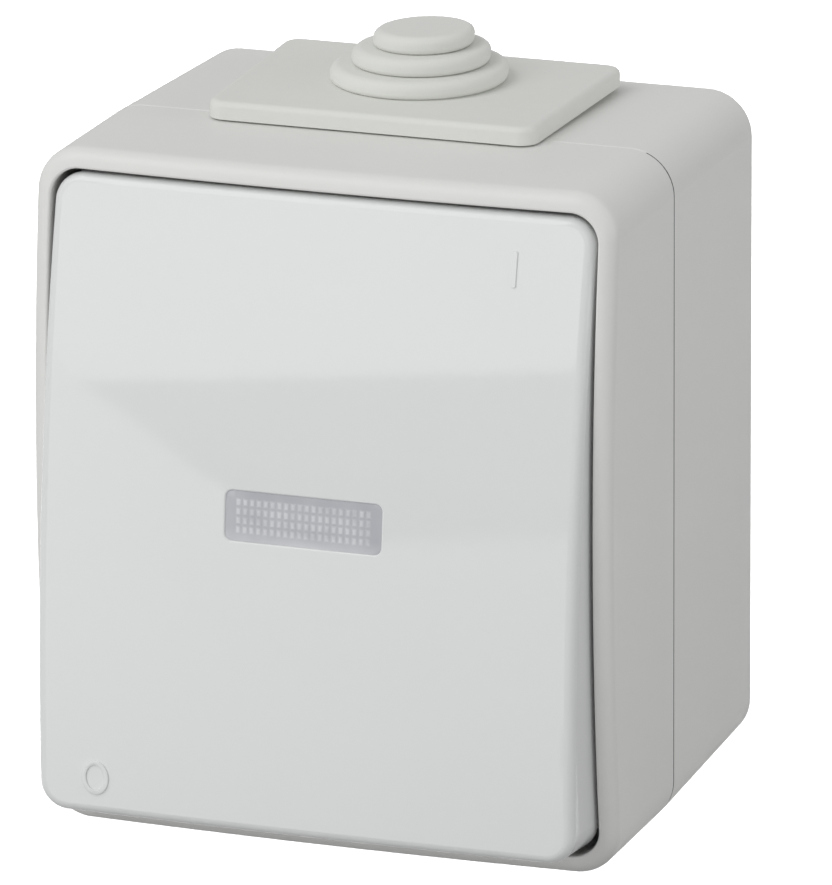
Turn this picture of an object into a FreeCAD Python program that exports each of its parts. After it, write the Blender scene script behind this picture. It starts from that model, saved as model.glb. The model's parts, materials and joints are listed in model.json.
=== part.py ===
import FreeCAD, Part
import math
import os

# Surface-mounted weatherproof rocker switch with an indicator window, in millimetres.
# X runs to the right, Y into the wall and Z up. The origin is the centre of the flat back.
# A depth is a distance in front of the wall, so a point at a depth lies at minus that depth in Y.

# Housing
BOX_WIDTH = 66.0
BOX_HEIGHT = 76.0
CORNER_RADIUS = 5.0
BASE_DEPTH = 28.4
BASE_DRAFT = 0.6
WALL = 2.2
BACK_WALL = 2.6
SEAT_CLEARANCE = 0.1
RUN_CLEARANCE = 0.05
OVERCUT = 1.0

# Joint between the rear box and the cover
LIP_THICKNESS = 1.1
LEDGE_DROP = 3.0
SEAL_HEIGHT = 1.1
JOINT_EDGE_RADIUS = 0.25
DRAIN_GAP = 0.15

# Front cover: its floor stands in front of the lamp, and its crown in front of the floor
RIM_SIDE = 1.9
RIM_END = 2.15
RIM_EDGE_RADIUS = 1.75
WELL_CORNER_RADIUS = 3.3
WELL_EDGE_RADIUS = 0.25
COVER_CROWN = 13.0
CROWN_RADIUS_UP = 268.0
CROWN_RADIUS_ACROSS = 580.0
FLOOR_HEIGHT = 3.9
FLOOR_THICKNESS = 2.0

# Pillars, bosses and screws that hold the cover
PILLAR_INSET = 3.8
PILLAR_RADIUS = 4.0
BOSS_RADIUS = 4.3
COVER_SCREW_RADIUS = 1.5
COVER_SCREW_BITE = 9.0
COVER_HEAD_RADIUS = 3.0
COVER_HEAD_HEIGHT = 2.0
COVER_HEAD_SINK = 3.5
SCREW_HOLE_CLEARANCE = 0.3
DRIVE_WIDTH = 0.9
DRIVE_DEPTH = 1.1

# Wall fixing slots and the knock-out under the box
FIXING_SPACING = 59.0
FIXING_SLOT_WIDTH = 4.5
FIXING_SLOT_LENGTH = 8.0
FIXING_COLLAR = 1.8
FIXING_COLLAR_HEIGHT = 1.2
KNOCKOUT_RADIUS = 8.0
KNOCKOUT_GROOVE = 0.6
KNOCKOUT_GROOVE_DEPTH = 0.8

# Rocker
ROCKER_GAP_SIDE = 0.4
ROCKER_GAP_END = 0.8
ROCKER_CORNER_RADIUS = 3.2
ROCKER_EDGE_RADIUS = 1.1
ROCKER_STAND = 3.65
ROCKER_RADIUS_UP = 256.0
ROCKER_WALL = 2.2
ROCKER_SKIRT = 1.8
ROCKER_SKIRT_DEPTH = 3.0
ROCKER_RIB = 1.4
ROCKER_RIB_HEIGHT = 20.0
ROCKER_TILT = 6.4
PIVOT_HEIGHT = 8.5
PIVOT_RADIUS = 1.6
PIVOT_ENGAGEMENT = 1.2

# Window
WINDOW_WIDTH = 17.8
WINDOW_HEIGHT = 5.5
WINDOW_CORNER_RADIUS = 0.8
WINDOW_EDGE_RADIUS = 0.2
LENS_FLANGE = 1.4
LENS_FLANGE_THICKNESS = 1.2
LENS_RECESS = 0.15
PRISM_ROWS = 4
PRISM_COLUMNS = 20
PRISM_DEPTH = 0.35
PRISM_MARGIN_SIDE = 1.1
PRISM_MARGIN_END = 0.75

# Drive legs of the rocker and the sleeves of the membrane
LEG_WIDTH = 4.6
LEG_THICKNESS = 1.6
LEG_BEAD_RADIUS = 1.3
LEG_MARGIN = 0.5
SLEEVE_GAP = 0.1
SLEEVE_WALL = 0.5
MEMBRANE_SHEET = 0.8
MEMBRANE_LIP = 2.0
MEMBRANE_LIP_THICKNESS = 0.8
MEMBRANE_MARGIN = 2.6
MEMBRANE_HEIGHT = 18.0
MEMBRANE_CORNER_RADIUS = 3.0

# Cable grommet
GROMMET_WIDTH = 38.6
GROMMET_BACK_MARGIN = 3.4
GROMMET_OVERLAP = 3.8
GROMMET_RELIEF = 0.2
GROMMET_PLATE = 2.0
GROMMET_CORNER_RADIUS = 2.0
GROMMET_EDGE_RADIUS = 0.7
GROMMET_SEAT_MARGIN = 2.0
GROMMET_NECK_MARGIN = 3.0
GROMMET_NECK_WIDTH = 29.0
GROMMET_FLANGE = 1.5
GROMMET_FLANGE_MARGIN = 1.8
GROMMET_SKIN = 1.2
RING_DIAMETERS = (19.5, 15.2, 11.1)
RING_HEIGHT = 2.05
RING_SETBACK = 1.7
RING_EDGE_RADIUS = 0.8
RING_CREASE_RADIUS = 0.6

# Switch body and bearing plate
BODY_HEIGHT = 42.0
BODY_DEPTH = 16.0
BODY_CORNER_RADIUS = 1.5
BODY_FLOOR = 3.4
BODY_END_WALL = 1.4
BODY_SEAT = 2.4
BODY_PAD_RADIUS = 2.5
BODY_PAD_INSET = 4.0
BODY_SIDE_MARGIN = 0.4
CHAMBER_WIDTH = 8.4
EAR_RADIUS = 3.6
EAR_THICKNESS = 4.0
EAR_OFFSET = 13.0
EAR_REACH = 3.0
INSERT_SCREW_RADIUS = 1.3
INSERT_HEAD_RADIUS = 2.5
INSERT_HEAD_HEIGHT = 1.6
INSERT_SCREW_BITE = 3.4
PLATE_THICKNESS = 2.5

# Toggle
TOGGLE_AXIS_HEIGHT = 1.2
TOGGLE_PIN_RADIUS = 1.5
TOGGLE_PIN_LENGTH = 2.4
TOGGLE_SIDE_GAP = 0.4
TOGGLE_BACK = 4.7
TOGGLE_FRONT = 4.2
CHEEK_INNER = 5.6
CHEEK_MARGIN = 0.3
BRIDGE_HALF_HEIGHT = 2.5
BRIDGE_BACK = 4.2
BRIDGE_FRONT = 0.8
FORK_REACH = 7.5
FORK_PRONG = 2.3
FORK_CLEARANCE = 0.15
FORK_TIP = 1.3
TOGGLE_SWING_MARGIN = 1.0
EAR_PLATE_THICKNESS = 2.8
BEARING_RADIUS = 3.2

# Plungers, springs and contact arms
PLUNGER_REACH = 10.3
PLUNGER_RADIUS = 1.2
PLUNGER_LENGTH = 5.4
PLUNGER_BOSS_RADIUS = 2.6
PLUNGER_BOSS_BACK = 7.6
PLUNGER_BORE_END = 3.4
SPRING_WIRE = 0.4
SPRING_TURNS = 4.5
ARM_GAP = 0.1
ARM_THICKNESS = 1.0
ARM_WIDTH = 6.0
ARM_REACH = 9.5
ARM_TILT = 5.0
ARM_PIVOT_RADIUS = 0.5
ARM_PIVOT_OFFSET = 0.1
RIVET_RADIUS = 1.5
RIVET_PLACE = 7.5
RIVET_HEAD = 0.7
CONTACT_GAP = 0.1
STOP_GAP = 0.2
STOP_LENGTH = 2.0

# Terminals
STRIP_THICKNESS = 1.0
STRIP_WIDTH = 3.6
STRIP_END = 1.5
PIVOT_POST = 0.6
TERMINAL_LENGTH = 5.6
TERMINAL_WIDTH = 6.4
TERMINAL_HEIGHT = 7.1
TERMINAL_WIRE_RADIUS = 1.5
TERMINAL_WIRE_HEIGHT = 3.6
WIRE_ENTRY_CLEARANCE = 0.4
TERMINAL_SCREW_RADIUS = 1.2
TERMINAL_HEAD_RADIUS = 2.0
TERMINAL_HEAD_HEIGHT = 1.8
SCREW_ACCESS_CLEARANCE = 0.4

# Earth terminal, above the switch body
EARTH_SIDE = 15.0
EARTH_UP = 6.0
EARTH_SIZE = 8.0
EARTH_HEIGHT = 7.0
EARTH_PEDESTAL = 2.0
EARTH_CHEEK = 1.0
EARTH_CHEEK_HEIGHT = 3.5

# Indicator lamp
LAMP_RADIUS = 1.9
LAMP_LENGTH = 9.0
HOLDER_GAP = 1.0
HOLDER_STAND = 4.9
HOLDER_THICKNESS = 1.6
HOLDER_FOOT_INNER = 10.0
HOLDER_FOOT = 3.0
HOLDER_END_WIDTH = 13.0
CRADLE_THICKNESS = 1.5
CRADLE_PLACE = 2.6
CRADLE_HALF_HEIGHT = 2.6
LAMP_LIFT = 0.3
LEAD_RADIUS = 0.3
LEAD_BEND = 0.8
LEAD_OUT = 1.1

X_AXIS = FreeCAD.Vector(1, 0, 0)
FRONT = FreeCAD.Vector(0, -1, 0)
UP = FreeCAD.Vector(0, 0, 1)
SIDES = {"left": -1, "right": 1}
CORNERS = ((1, 1), (-1, 1), (-1, -1), (1, -1))

# Sizes and depths that follow from the driving dimensions
HALF_HEIGHT = BOX_HEIGHT / 2
INNER_WIDTH = BOX_WIDTH - 2 * WALL
INNER_HEIGHT = BOX_HEIGHT - 2 * WALL
INNER_RADIUS = CORNER_RADIUS - WALL
WELL_WIDTH = BOX_WIDTH - 2 * RIM_SIDE
WELL_HEIGHT = BOX_HEIGHT - 2 * RIM_END
LEDGE_DEPTH = BASE_DEPTH - LEDGE_DROP
SEAL_FRONT = LEDGE_DEPTH + SEAL_HEIGHT

BODY_BACK = BACK_WALL + BODY_SEAT
BODY_FRONT = BODY_BACK + BODY_DEPTH
CHAMBER_BACK = BODY_BACK + BODY_FLOOR
PLATE_FRONT = BODY_FRONT + PLATE_THICKNESS
TOGGLE_AXIS = PLATE_FRONT + TOGGLE_AXIS_HEIGHT
HOLDER_BACK = PLATE_FRONT + HOLDER_STAND
HOLDER_FRONT = HOLDER_BACK + HOLDER_THICKNESS
LAMP_DEPTH = HOLDER_FRONT + LAMP_LIFT + LAMP_RADIUS

FLOOR_FRONT = LAMP_DEPTH + LAMP_RADIUS + FLOOR_HEIGHT
FLOOR_BACK = FLOOR_FRONT - FLOOR_THICKNESS
CROWN_DEPTH = FLOOR_FRONT + COVER_CROWN
PILLAR_X = INNER_WIDTH / 2 - PILLAR_INSET
PILLAR_Z = INNER_HEIGHT / 2 - PILLAR_INSET
COVER_HEAD_SEAT = FLOOR_FRONT - COVER_HEAD_SINK

PIVOT_DEPTH = FLOOR_FRONT + PIVOT_HEIGHT
ROCKER_WIDTH = WELL_WIDTH - 2 * ROCKER_GAP_SIDE
ROCKER_HEIGHT = WELL_HEIGHT - 2 * ROCKER_GAP_END
ROCKER_CROWN = CROWN_DEPTH + ROCKER_STAND
ROCKER_BACK = PIVOT_DEPTH - ROCKER_SKIRT_DEPTH
LEG_X = WINDOW_WIDTH / 2 + LENS_FLANGE + LEG_MARGIN + LEG_WIDTH / 2
SLEEVE = SLEEVE_GAP + SLEEVE_WALL
MEMBRANE_WIDTH = 2 * (LEG_X + LEG_WIDTH / 2 + SLEEVE + MEMBRANE_MARGIN)
SHEET_BACK = (FLOOR_BACK + FLOOR_FRONT - MEMBRANE_SHEET) / 2

FORK_SLOT = 2 * (LEG_BEAD_RADIUS + SLEEVE + FORK_CLEARANCE)
TOGGLE_HALF_HEIGHT = FORK_SLOT / 2 + FORK_PRONG
CHEEK_OUTER = LEG_X + LEG_WIDTH / 2 + CHEEK_MARGIN
POLE_X = (CHEEK_INNER + CHEEK_OUTER) / 2
BEARING_INNER = CHEEK_OUTER + TOGGLE_SIDE_GAP
BEARING_OUTER = BEARING_INNER + EAR_PLATE_THICKNESS
BODY_WIDTH = 2 * (BEARING_OUTER + BODY_SIDE_MARGIN)
LEG_REACH = PIVOT_DEPTH - TOGGLE_AXIS - FORK_REACH
LEG_TIP_DEPTH = PIVOT_DEPTH - LEG_REACH

ARM_AXIS = (TOGGLE_AXIS - PLUNGER_REACH - PLUNGER_RADIUS - ARM_GAP
            - ARM_THICKNESS - ARM_PIVOT_OFFSET)
ARM_BACK = ARM_AXIS + ARM_PIVOT_OFFSET
TERMINAL_OUTER = BODY_HEIGHT / 2 - BODY_END_WALL - SEAT_CLEARANCE
TERMINAL_INNER = TERMINAL_OUTER - TERMINAL_LENGTH
TERMINAL_MIDDLE = (TERMINAL_OUTER + TERMINAL_INNER) / 2
TERMINAL_FRONT = CHAMBER_BACK + TERMINAL_HEIGHT
WIRE_DEPTH = CHAMBER_BACK + TERMINAL_WIRE_HEIGHT

HOLDER_WIDTH = 2 * (CHEEK_INNER - HOLDER_GAP)
HOLDER_FOOT_OUTER = HOLDER_FOOT_INNER + HOLDER_FOOT
EARTH_Z = BODY_HEIGHT / 2 + EARTH_UP

# The bead of each leg swings the fork, so the toggle turns the other way and further than the rocker
TILT = math.radians(ROCKER_TILT)
TOGGLE_TILT = math.degrees(math.atan2(
    LEG_REACH * math.sin(TILT), LEG_REACH + FORK_REACH - LEG_REACH * math.cos(TILT)))
SWING = math.radians(TOGGLE_TILT)
TOGGLE_SWEEP = (TOGGLE_HALF_HEIGHT * math.cos(SWING) + TOGGLE_BACK * math.sin(SWING)
                + TOGGLE_SWING_MARGIN)
TOGGLE_SWEEP_BACK = TOGGLE_AXIS - (TOGGLE_BACK * math.cos(SWING) + TOGGLE_HALF_HEIGHT * math.sin(SWING)
                                   + TOGGLE_SWING_MARGIN)


def at(x, depth, z):
    return FreeCAD.Vector(x, -depth, z)


def drawn_in(depth):
    """How far the drafted wall of the rear box has drawn in at a depth."""
    return BASE_DRAFT * (1 - depth / BASE_DEPTH)


def block(x_range, depth_range, z_range):
    size = (x_range[1] - x_range[0], depth_range[1] - depth_range[0], z_range[1] - z_range[0])
    return Part.makeBox(*size, at(x_range[0], depth_range[1], z_range[0]))


def rod_out(radius, x, z, depth_range):
    """Cylinder that runs from the wall side to the front."""
    return Part.makeCylinder(radius, depth_range[1] - depth_range[0], at(x, depth_range[0], z), FRONT)


def rod_across(radius, x_range, depth, z=0.0):
    return Part.makeCylinder(radius, x_range[1] - x_range[0], at(x_range[0], depth, z), X_AXIS)


def rod_up(radius, x, depth, z_range):
    return Part.makeCylinder(radius, z_range[1] - z_range[0], at(x, depth, z_range[0]), UP)


def mirrored(side, x_range):
    """The same range of X on the left (-1) or right (1)."""
    return tuple(sorted(side * x for x in x_range))


def rounded_rectangle(width, height, radius, place):
    """Closed wire with round corners, put in space by a function of its two plane coordinates."""
    arcs = []
    for quarter, (side, end) in enumerate(CORNERS):
        middle_u = side * (width / 2 - radius)
        middle_v = end * (height / 2 - radius)
        turns = [math.radians(90 * quarter + step) for step in (0, 45, 90)]
        arcs.append([place(middle_u + radius * math.cos(turn), middle_v + radius * math.sin(turn))
                     for turn in turns])
    edges = []
    for index, points in enumerate(arcs):
        edges.append(Part.Arc(*points).toShape())
        edges.append(Part.LineSegment(points[2], arcs[(index + 1) % 4][0]).toShape())
    return Part.Wire(edges)


def outline(width, height, radius, depth, x=0.0, z=0.0):
    """Rounded rectangle that faces the wall."""
    return rounded_rectangle(width, height, radius, lambda u, v: at(x + u, depth, z + v))


def slab(width, depth_range, radius, z_range):
    """Rounded rectangle that lies flat, extruded upwards."""
    middle = sum(depth_range) / 2
    wire = rounded_rectangle(width, depth_range[1] - depth_range[0], radius,
                             lambda u, v: at(u, middle - v, z_range[0]))
    return Part.Face(wire).extrude(UP * (z_range[1] - z_range[0]))


def plate(width, height, radius, depth_range, x=0.0, z=0.0):
    """Rounded rectangle extruded from the wall side to the front."""
    face = Part.Face(outline(width, height, radius, depth_range[0], x, z))
    return face.extrude(FRONT * (depth_range[1] - depth_range[0]))


def tapered(inset, depth_range):
    """Drafted block of the rear box, drawn in by an inset all round."""
    wires = []
    for depth in depth_range:
        shrink = 2 * (inset + drawn_in(depth))
        wires.append(outline(BOX_WIDTH - shrink, BOX_HEIGHT - shrink, CORNER_RADIUS - inset, depth))
    return Part.makeLoft(wires, True, True)


def slot(width, length, depth_range, z):
    """Upright slot with round ends."""
    offset = (length - width) / 2
    shape = block((-width / 2, width / 2), depth_range, (z - offset, z + offset))
    ends = [rod_out(width / 2, 0, z + sign * offset, depth_range) for sign in (-1, 1)]
    return shape.fuse(ends).removeSplitter()


def dome(crown, radius_up):
    """Solid behind a front that is crowned both ways, larger than the housing."""
    reach = BOX_WIDTH
    edge_depth = crown - CROWN_RADIUS_ACROSS + math.sqrt(CROWN_RADIUS_ACROSS ** 2 - reach ** 2)
    left, right = at(-reach, edge_depth, 0), at(reach, edge_depth, 0)
    back_left, back_right = at(-reach, 0, 0), at(reach, 0, 0)
    face = Part.Face(Part.Wire([
        Part.Arc(left, at(0, crown, 0), right).toShape(),
        Part.LineSegment(right, back_right).toShape(),
        Part.LineSegment(back_right, back_left).toShape(),
        Part.LineSegment(back_left, left).toShape(),
    ]))
    axis = at(0, crown - radius_up, 0)
    half_angle = math.degrees(math.asin(BOX_HEIGHT / radius_up))
    face.rotate(axis, X_AXIS, -half_angle)
    return face.revolve(axis, X_AXIS, 2 * half_angle)


def front_edges(shape):
    """Edges of the face that lies furthest in front."""
    return min(shape.Faces, key=lambda face: face.CenterOfMass.y).Edges


def back_edges(shape):
    """Edges of the face that lies furthest back."""
    return max(shape.Faces, key=lambda face: face.CenterOfMass.y).Edges


def well_edges(shape):
    """Edges where the walls of the well meet the crowned rim."""
    inside = WELL_HEIGHT / 2 + RIM_END / 4
    return [edge for edge in shape.Edges
            if edge.BoundBox.YMax < -(FLOOR_FRONT + COVER_CROWN / 2)
            and max(abs(edge.BoundBox.ZMin), abs(edge.BoundBox.ZMax)) < inside
            and max(abs(edge.BoundBox.XMin), abs(edge.BoundBox.XMax)) < WELL_WIDTH / 2 + RIM_SIDE / 4]


def top_face(shape):
    return max(shape.Faces, key=lambda face: face.CenterOfMass.z)


def bottom_face(shape):
    return min(shape.Faces, key=lambda face: face.CenterOfMass.z)


def crowned_plate(width, height, radius, back, crown, radius_up):
    """Rounded rectangle with a crowned front."""
    shape = plate(width, height, radius, (back, crown + OVERCUT))
    return shape.common(dome(crown, radius_up))


def turned(shape, angle, depth):
    """Turned about an axis across the switch, with the top moving out for a positive angle."""
    result = shape.copy()
    result.rotate(at(0, depth, 0), X_AXIS, angle)
    return result


def with_rocker(shape):
    return turned(shape, -ROCKER_TILT, PIVOT_DEPTH)


def with_toggle(shape):
    return turned(shape, TOGGLE_TILT, TOGGLE_AXIS)


def with_arm(shape):
    return turned(shape, -ARM_TILT, ARM_AXIS)


def with_wall(shape):
    """Leant back with the drafted top of the rear box."""
    result = shape.copy()
    result.rotate(at(0, BASE_DEPTH, HALF_HEIGHT), X_AXIS,
                  -math.degrees(math.atan2(BASE_DRAFT, BASE_DEPTH)))
    return result


def screw(x, z, seat, head_radius, head_height, radius, tip):
    """Screw from the front, with a plain slot in its head."""
    top = seat + head_height
    shape = rod_out(head_radius, x, z, (seat, top)).fuse(rod_out(radius, x, z, (tip, seat)))
    drive = block((x - head_radius, x + head_radius), (top - DRIVE_DEPTH, top),
                  (z - DRIVE_WIDTH / 2, z + DRIVE_WIDTH / 2))
    return shape.removeSplitter().cut(drive)


def pillar_places():
    return [(side * PILLAR_X, end * PILLAR_Z) for side, end in CORNERS]


def ear_places():
    """The two ears of the switch body, on opposite corners."""
    return [(-EAR_OFFSET, BODY_HEIGHT / 2 + EAR_REACH), (EAR_OFFSET, -BODY_HEIGHT / 2 - EAR_REACH)]


# Places of the cable grommet
GROMMET_RANGE = (GROMMET_BACK_MARGIN, BASE_DEPTH + GROMMET_OVERLAP)
GROMMET_AXIS = sum(GROMMET_RANGE) / 2 - RING_SETBACK
NECK_BACK = GROMMET_BACK_MARGIN + GROMMET_NECK_MARGIN


def rear_box():
    shape = tapered(0, (0, BASE_DEPTH))
    shape = shape.makeFillet(JOINT_EDGE_RADIUS, front_edges(shape))
    shape = shape.cut(tapered(WALL, (BACK_WALL, BASE_DEPTH)))
    lip_inset = 2 * LIP_THICKNESS
    ledge = plate(BOX_WIDTH - lip_inset, BOX_HEIGHT - lip_inset, CORNER_RADIUS - LIP_THICKNESS,
                  (LEDGE_DEPTH, BASE_DEPTH))
    shape = shape.cut(ledge)
    inside = tapered(WALL / 2, (BACK_WALL / 2, BASE_DEPTH))
    added = [rod_out(PILLAR_RADIUS, x, z, (BACK_WALL / 2, LEDGE_DEPTH)).common(inside)
             for x, z in pillar_places()]
    pad_x = BODY_WIDTH / 2 - BODY_PAD_INSET
    pad_z = BODY_HEIGHT / 2 - BODY_PAD_INSET
    seats = [(side * pad_x, end * pad_z) for side, end in CORNERS] + ear_places()
    added += [rod_out(BODY_PAD_RADIUS, x, z, (BACK_WALL / 2, BODY_BACK)) for x, z in seats]
    collar_width = FIXING_SLOT_WIDTH + 2 * FIXING_COLLAR
    collar_length = FIXING_SLOT_LENGTH + 2 * FIXING_COLLAR
    fixing_heights = (-FIXING_SPACING / 2, FIXING_SPACING / 2)
    collar_range = (BACK_WALL / 2, BACK_WALL + FIXING_COLLAR_HEIGHT)
    added += [slot(collar_width, collar_length, collar_range, z) for z in fixing_heights]
    added.append(earth_cradle())
    shape = shape.fuse(added).removeSplitter()
    cuts = [slot(FIXING_SLOT_WIDTH, FIXING_SLOT_LENGTH, (0, collar_range[1]), z) for z in fixing_heights]
    cuts += [rod_out(COVER_SCREW_RADIUS + RUN_CLEARANCE, x, z,
                     (LEDGE_DEPTH - COVER_SCREW_BITE - SEAT_CLEARANCE, LEDGE_DEPTH))
             for x, z in pillar_places()]
    cuts += [rod_out(INSERT_SCREW_RADIUS + RUN_CLEARANCE, x, z,
                     (BODY_BACK - INSERT_SCREW_BITE - SEAT_CLEARANCE, BODY_BACK))
             for x, z in ear_places()]
    neck_half = GROMMET_NECK_WIDTH / 2
    cuts.append(with_wall(block((-neck_half, neck_half), (NECK_BACK, BASE_DEPTH + WALL),
                                (HALF_HEIGHT - 2 * WALL, HALF_HEIGHT + WALL))))
    groove_depth = BASE_DEPTH / 2
    bottom = -HALF_HEIGHT + drawn_in(groove_depth)
    groove_range = (bottom - WALL, bottom + KNOCKOUT_GROOVE_DEPTH)
    groove = rod_up(KNOCKOUT_RADIUS, 0, groove_depth, groove_range)
    cuts.append(groove.cut(rod_up(KNOCKOUT_RADIUS - KNOCKOUT_GROOVE, 0, groove_depth, groove_range)))
    return shape.cut(cuts)


def earth_cradle():
    """Pedestal with two cheeks that holds the earth terminal."""
    half = EARTH_SIZE / 2
    top = BACK_WALL + EARTH_PEDESTAL
    outer = half + SEAT_CLEARANCE + EARTH_CHEEK
    shape = block((EARTH_SIDE - outer, EARTH_SIDE + outer), (BACK_WALL / 2, top + EARTH_CHEEK_HEIGHT),
                  (EARTH_Z - half, EARTH_Z + half))
    gap = half + SEAT_CLEARANCE
    return shape.cut(block((EARTH_SIDE - gap, EARTH_SIDE + gap), (top, top + EARTH_CHEEK_HEIGHT),
                           (EARTH_Z - half, EARTH_Z + half)))


def front_cover():
    shape = crowned_plate(BOX_WIDTH, BOX_HEIGHT, CORNER_RADIUS, BASE_DEPTH, CROWN_DEPTH, CROWN_RADIUS_UP)
    shape = shape.makeFillet(RIM_EDGE_RADIUS, front_edges(shape))
    shape = shape.makeFillet(JOINT_EDGE_RADIUS, back_edges(shape))
    well = plate(WELL_WIDTH, WELL_HEIGHT, WELL_CORNER_RADIUS, (FLOOR_FRONT, CROWN_DEPTH + OVERCUT))
    cavity = plate(INNER_WIDTH, INNER_HEIGHT, INNER_RADIUS, (BASE_DEPTH, FLOOR_BACK))
    drain = block((-BOX_WIDTH, BOX_WIDTH), (BASE_DEPTH, BASE_DEPTH + DRAIN_GAP),
                  (-BOX_HEIGHT, HALF_HEIGHT - CORNER_RADIUS / 3))
    shape = shape.cut(well)
    shape = shape.makeFillet(WELL_EDGE_RADIUS, well_edges(shape)).cut([cavity, drain])
    tongue_inset = LIP_THICKNESS + SEAT_CLEARANCE
    tongue = plate(BOX_WIDTH - 2 * tongue_inset, BOX_HEIGHT - 2 * tongue_inset,
                   CORNER_RADIUS - tongue_inset, (SEAL_FRONT, BASE_DEPTH + WALL))
    hollow_range = (LEDGE_DEPTH, FLOOR_BACK)
    hollow = plate(INNER_WIDTH, INNER_HEIGHT, INNER_RADIUS, hollow_range)
    added = [tongue.cut(hollow)]
    added += [rod_out(BOSS_RADIUS, x, z, (LEDGE_DEPTH, FLOOR_FRONT - FLOOR_THICKNESS / 2)).common(
        plate(INNER_WIDTH, INNER_HEIGHT, INNER_RADIUS, (LEDGE_DEPTH, FLOOR_FRONT)))
        for x, z in pillar_places()]
    shape = shape.fuse(added).removeSplitter()
    shaft = COVER_SCREW_RADIUS + SCREW_HOLE_CLEARANCE
    head = COVER_HEAD_RADIUS + SCREW_HOLE_CLEARANCE
    cuts = [rod_out(shaft, x, z, (LEDGE_DEPTH, FLOOR_FRONT)) for x, z in pillar_places()]
    cuts += [rod_out(head, x, z, (COVER_HEAD_SEAT, FLOOR_FRONT)) for x, z in pillar_places()]
    cuts.append(plate(MEMBRANE_WIDTH, MEMBRANE_HEIGHT, MEMBRANE_CORNER_RADIUS, (FLOOR_BACK, FLOOR_FRONT)))
    socket = (WELL_WIDTH / 2 - OVERCUT, WELL_WIDTH / 2 - ROCKER_GAP_SIDE + PIVOT_ENGAGEMENT + SEAT_CLEARANCE)
    cuts += [rod_across(PIVOT_RADIUS + RUN_CLEARANCE, mirrored(side, socket), PIVOT_DEPTH)
             for side in SIDES.values()]
    return shape.cut(cuts)


def cover_seal():
    outer = 2 * (LIP_THICKNESS + 2 * SEAT_CLEARANCE)
    inner = 2 * RUN_CLEARANCE
    depths = (LEDGE_DEPTH, SEAL_FRONT)
    shape = plate(BOX_WIDTH - outer, BOX_HEIGHT - outer, CORNER_RADIUS - outer / 2, depths)
    return shape.cut(plate(INNER_WIDTH + inner, INNER_HEIGHT + inner, INNER_RADIUS + inner / 2, depths))


def cover_screws():
    screws = [screw(x, z, COVER_HEAD_SEAT, COVER_HEAD_RADIUS, COVER_HEAD_HEIGHT, COVER_SCREW_RADIUS,
                    LEDGE_DEPTH - COVER_SCREW_BITE) for x, z in pillar_places()]
    return Part.makeCompound(screws)


def cable_grommet():
    """Level plate over a seat that lies on the drafted wall, with a neck inside the notch."""
    bottom = HALF_HEIGHT + GROMMET_RELIEF
    top = bottom + GROMMET_PLATE
    shape = slab(GROMMET_WIDTH, GROMMET_RANGE, GROMMET_CORNER_RADIUS, (bottom, top))
    shape = shape.makeFillet(GROMMET_EDGE_RADIUS, top_face(shape).Edges)
    ring_base = top
    for diameter in RING_DIAMETERS:
        ring = rod_up(diameter / 2, 0, GROMMET_AXIS, (ring_base, ring_base + RING_HEIGHT))
        ring = ring.makeFillet(RING_CREASE_RADIUS, bottom_face(ring).Edges)
        shape = shape.fuse(ring.makeFillet(RING_EDGE_RADIUS, top_face(ring).Edges))
        ring_base += RING_HEIGHT
    inner_top = HALF_HEIGHT - WALL - SEAT_CLEARANCE
    inner_bottom = inner_top - GROMMET_FLANGE
    neck_half = GROMMET_NECK_WIDTH / 2 - SEAT_CLEARANCE
    neck_back = NECK_BACK + SEAT_CLEARANCE
    lip_bottom = HALF_HEIGHT - LIP_THICKNESS
    front_lip = BASE_DEPTH - SEAT_CLEARANCE
    front_ledge = LEDGE_DEPTH - SEAT_CLEARANCE
    flange_half = neck_half + GROMMET_FLANGE_MARGIN
    middle = bottom + GROMMET_PLATE / 2
    seat_half = GROMMET_WIDTH / 2 - GROMMET_SEAT_MARGIN
    inside = [
        block((-seat_half, seat_half), (GROMMET_BACK_MARGIN + GROMMET_SEAT_MARGIN, BASE_DEPTH),
              (HALF_HEIGHT, middle)),
        block((-neck_half, neck_half), (neck_back, front_lip), (lip_bottom, middle)),
        block((-neck_half, neck_half), (neck_back, front_ledge), (inner_bottom, middle)),
        block((-flange_half, flange_half), (neck_back - GROMMET_FLANGE_MARGIN, front_ledge),
              (inner_bottom, inner_top)),
    ]
    shape = shape.fuse([with_wall(piece) for piece in inside]).removeSplitter()
    hollows = []
    hollow_top = top
    for diameter in RING_DIAMETERS:
        hollow_top += RING_HEIGHT
        hollows.append(rod_up(diameter / 2 - GROMMET_SKIN, 0, GROMMET_AXIS,
                              (inner_bottom - BASE_DRAFT, hollow_top - GROMMET_SKIN)))
    return shape.cut(hollows)


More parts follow.
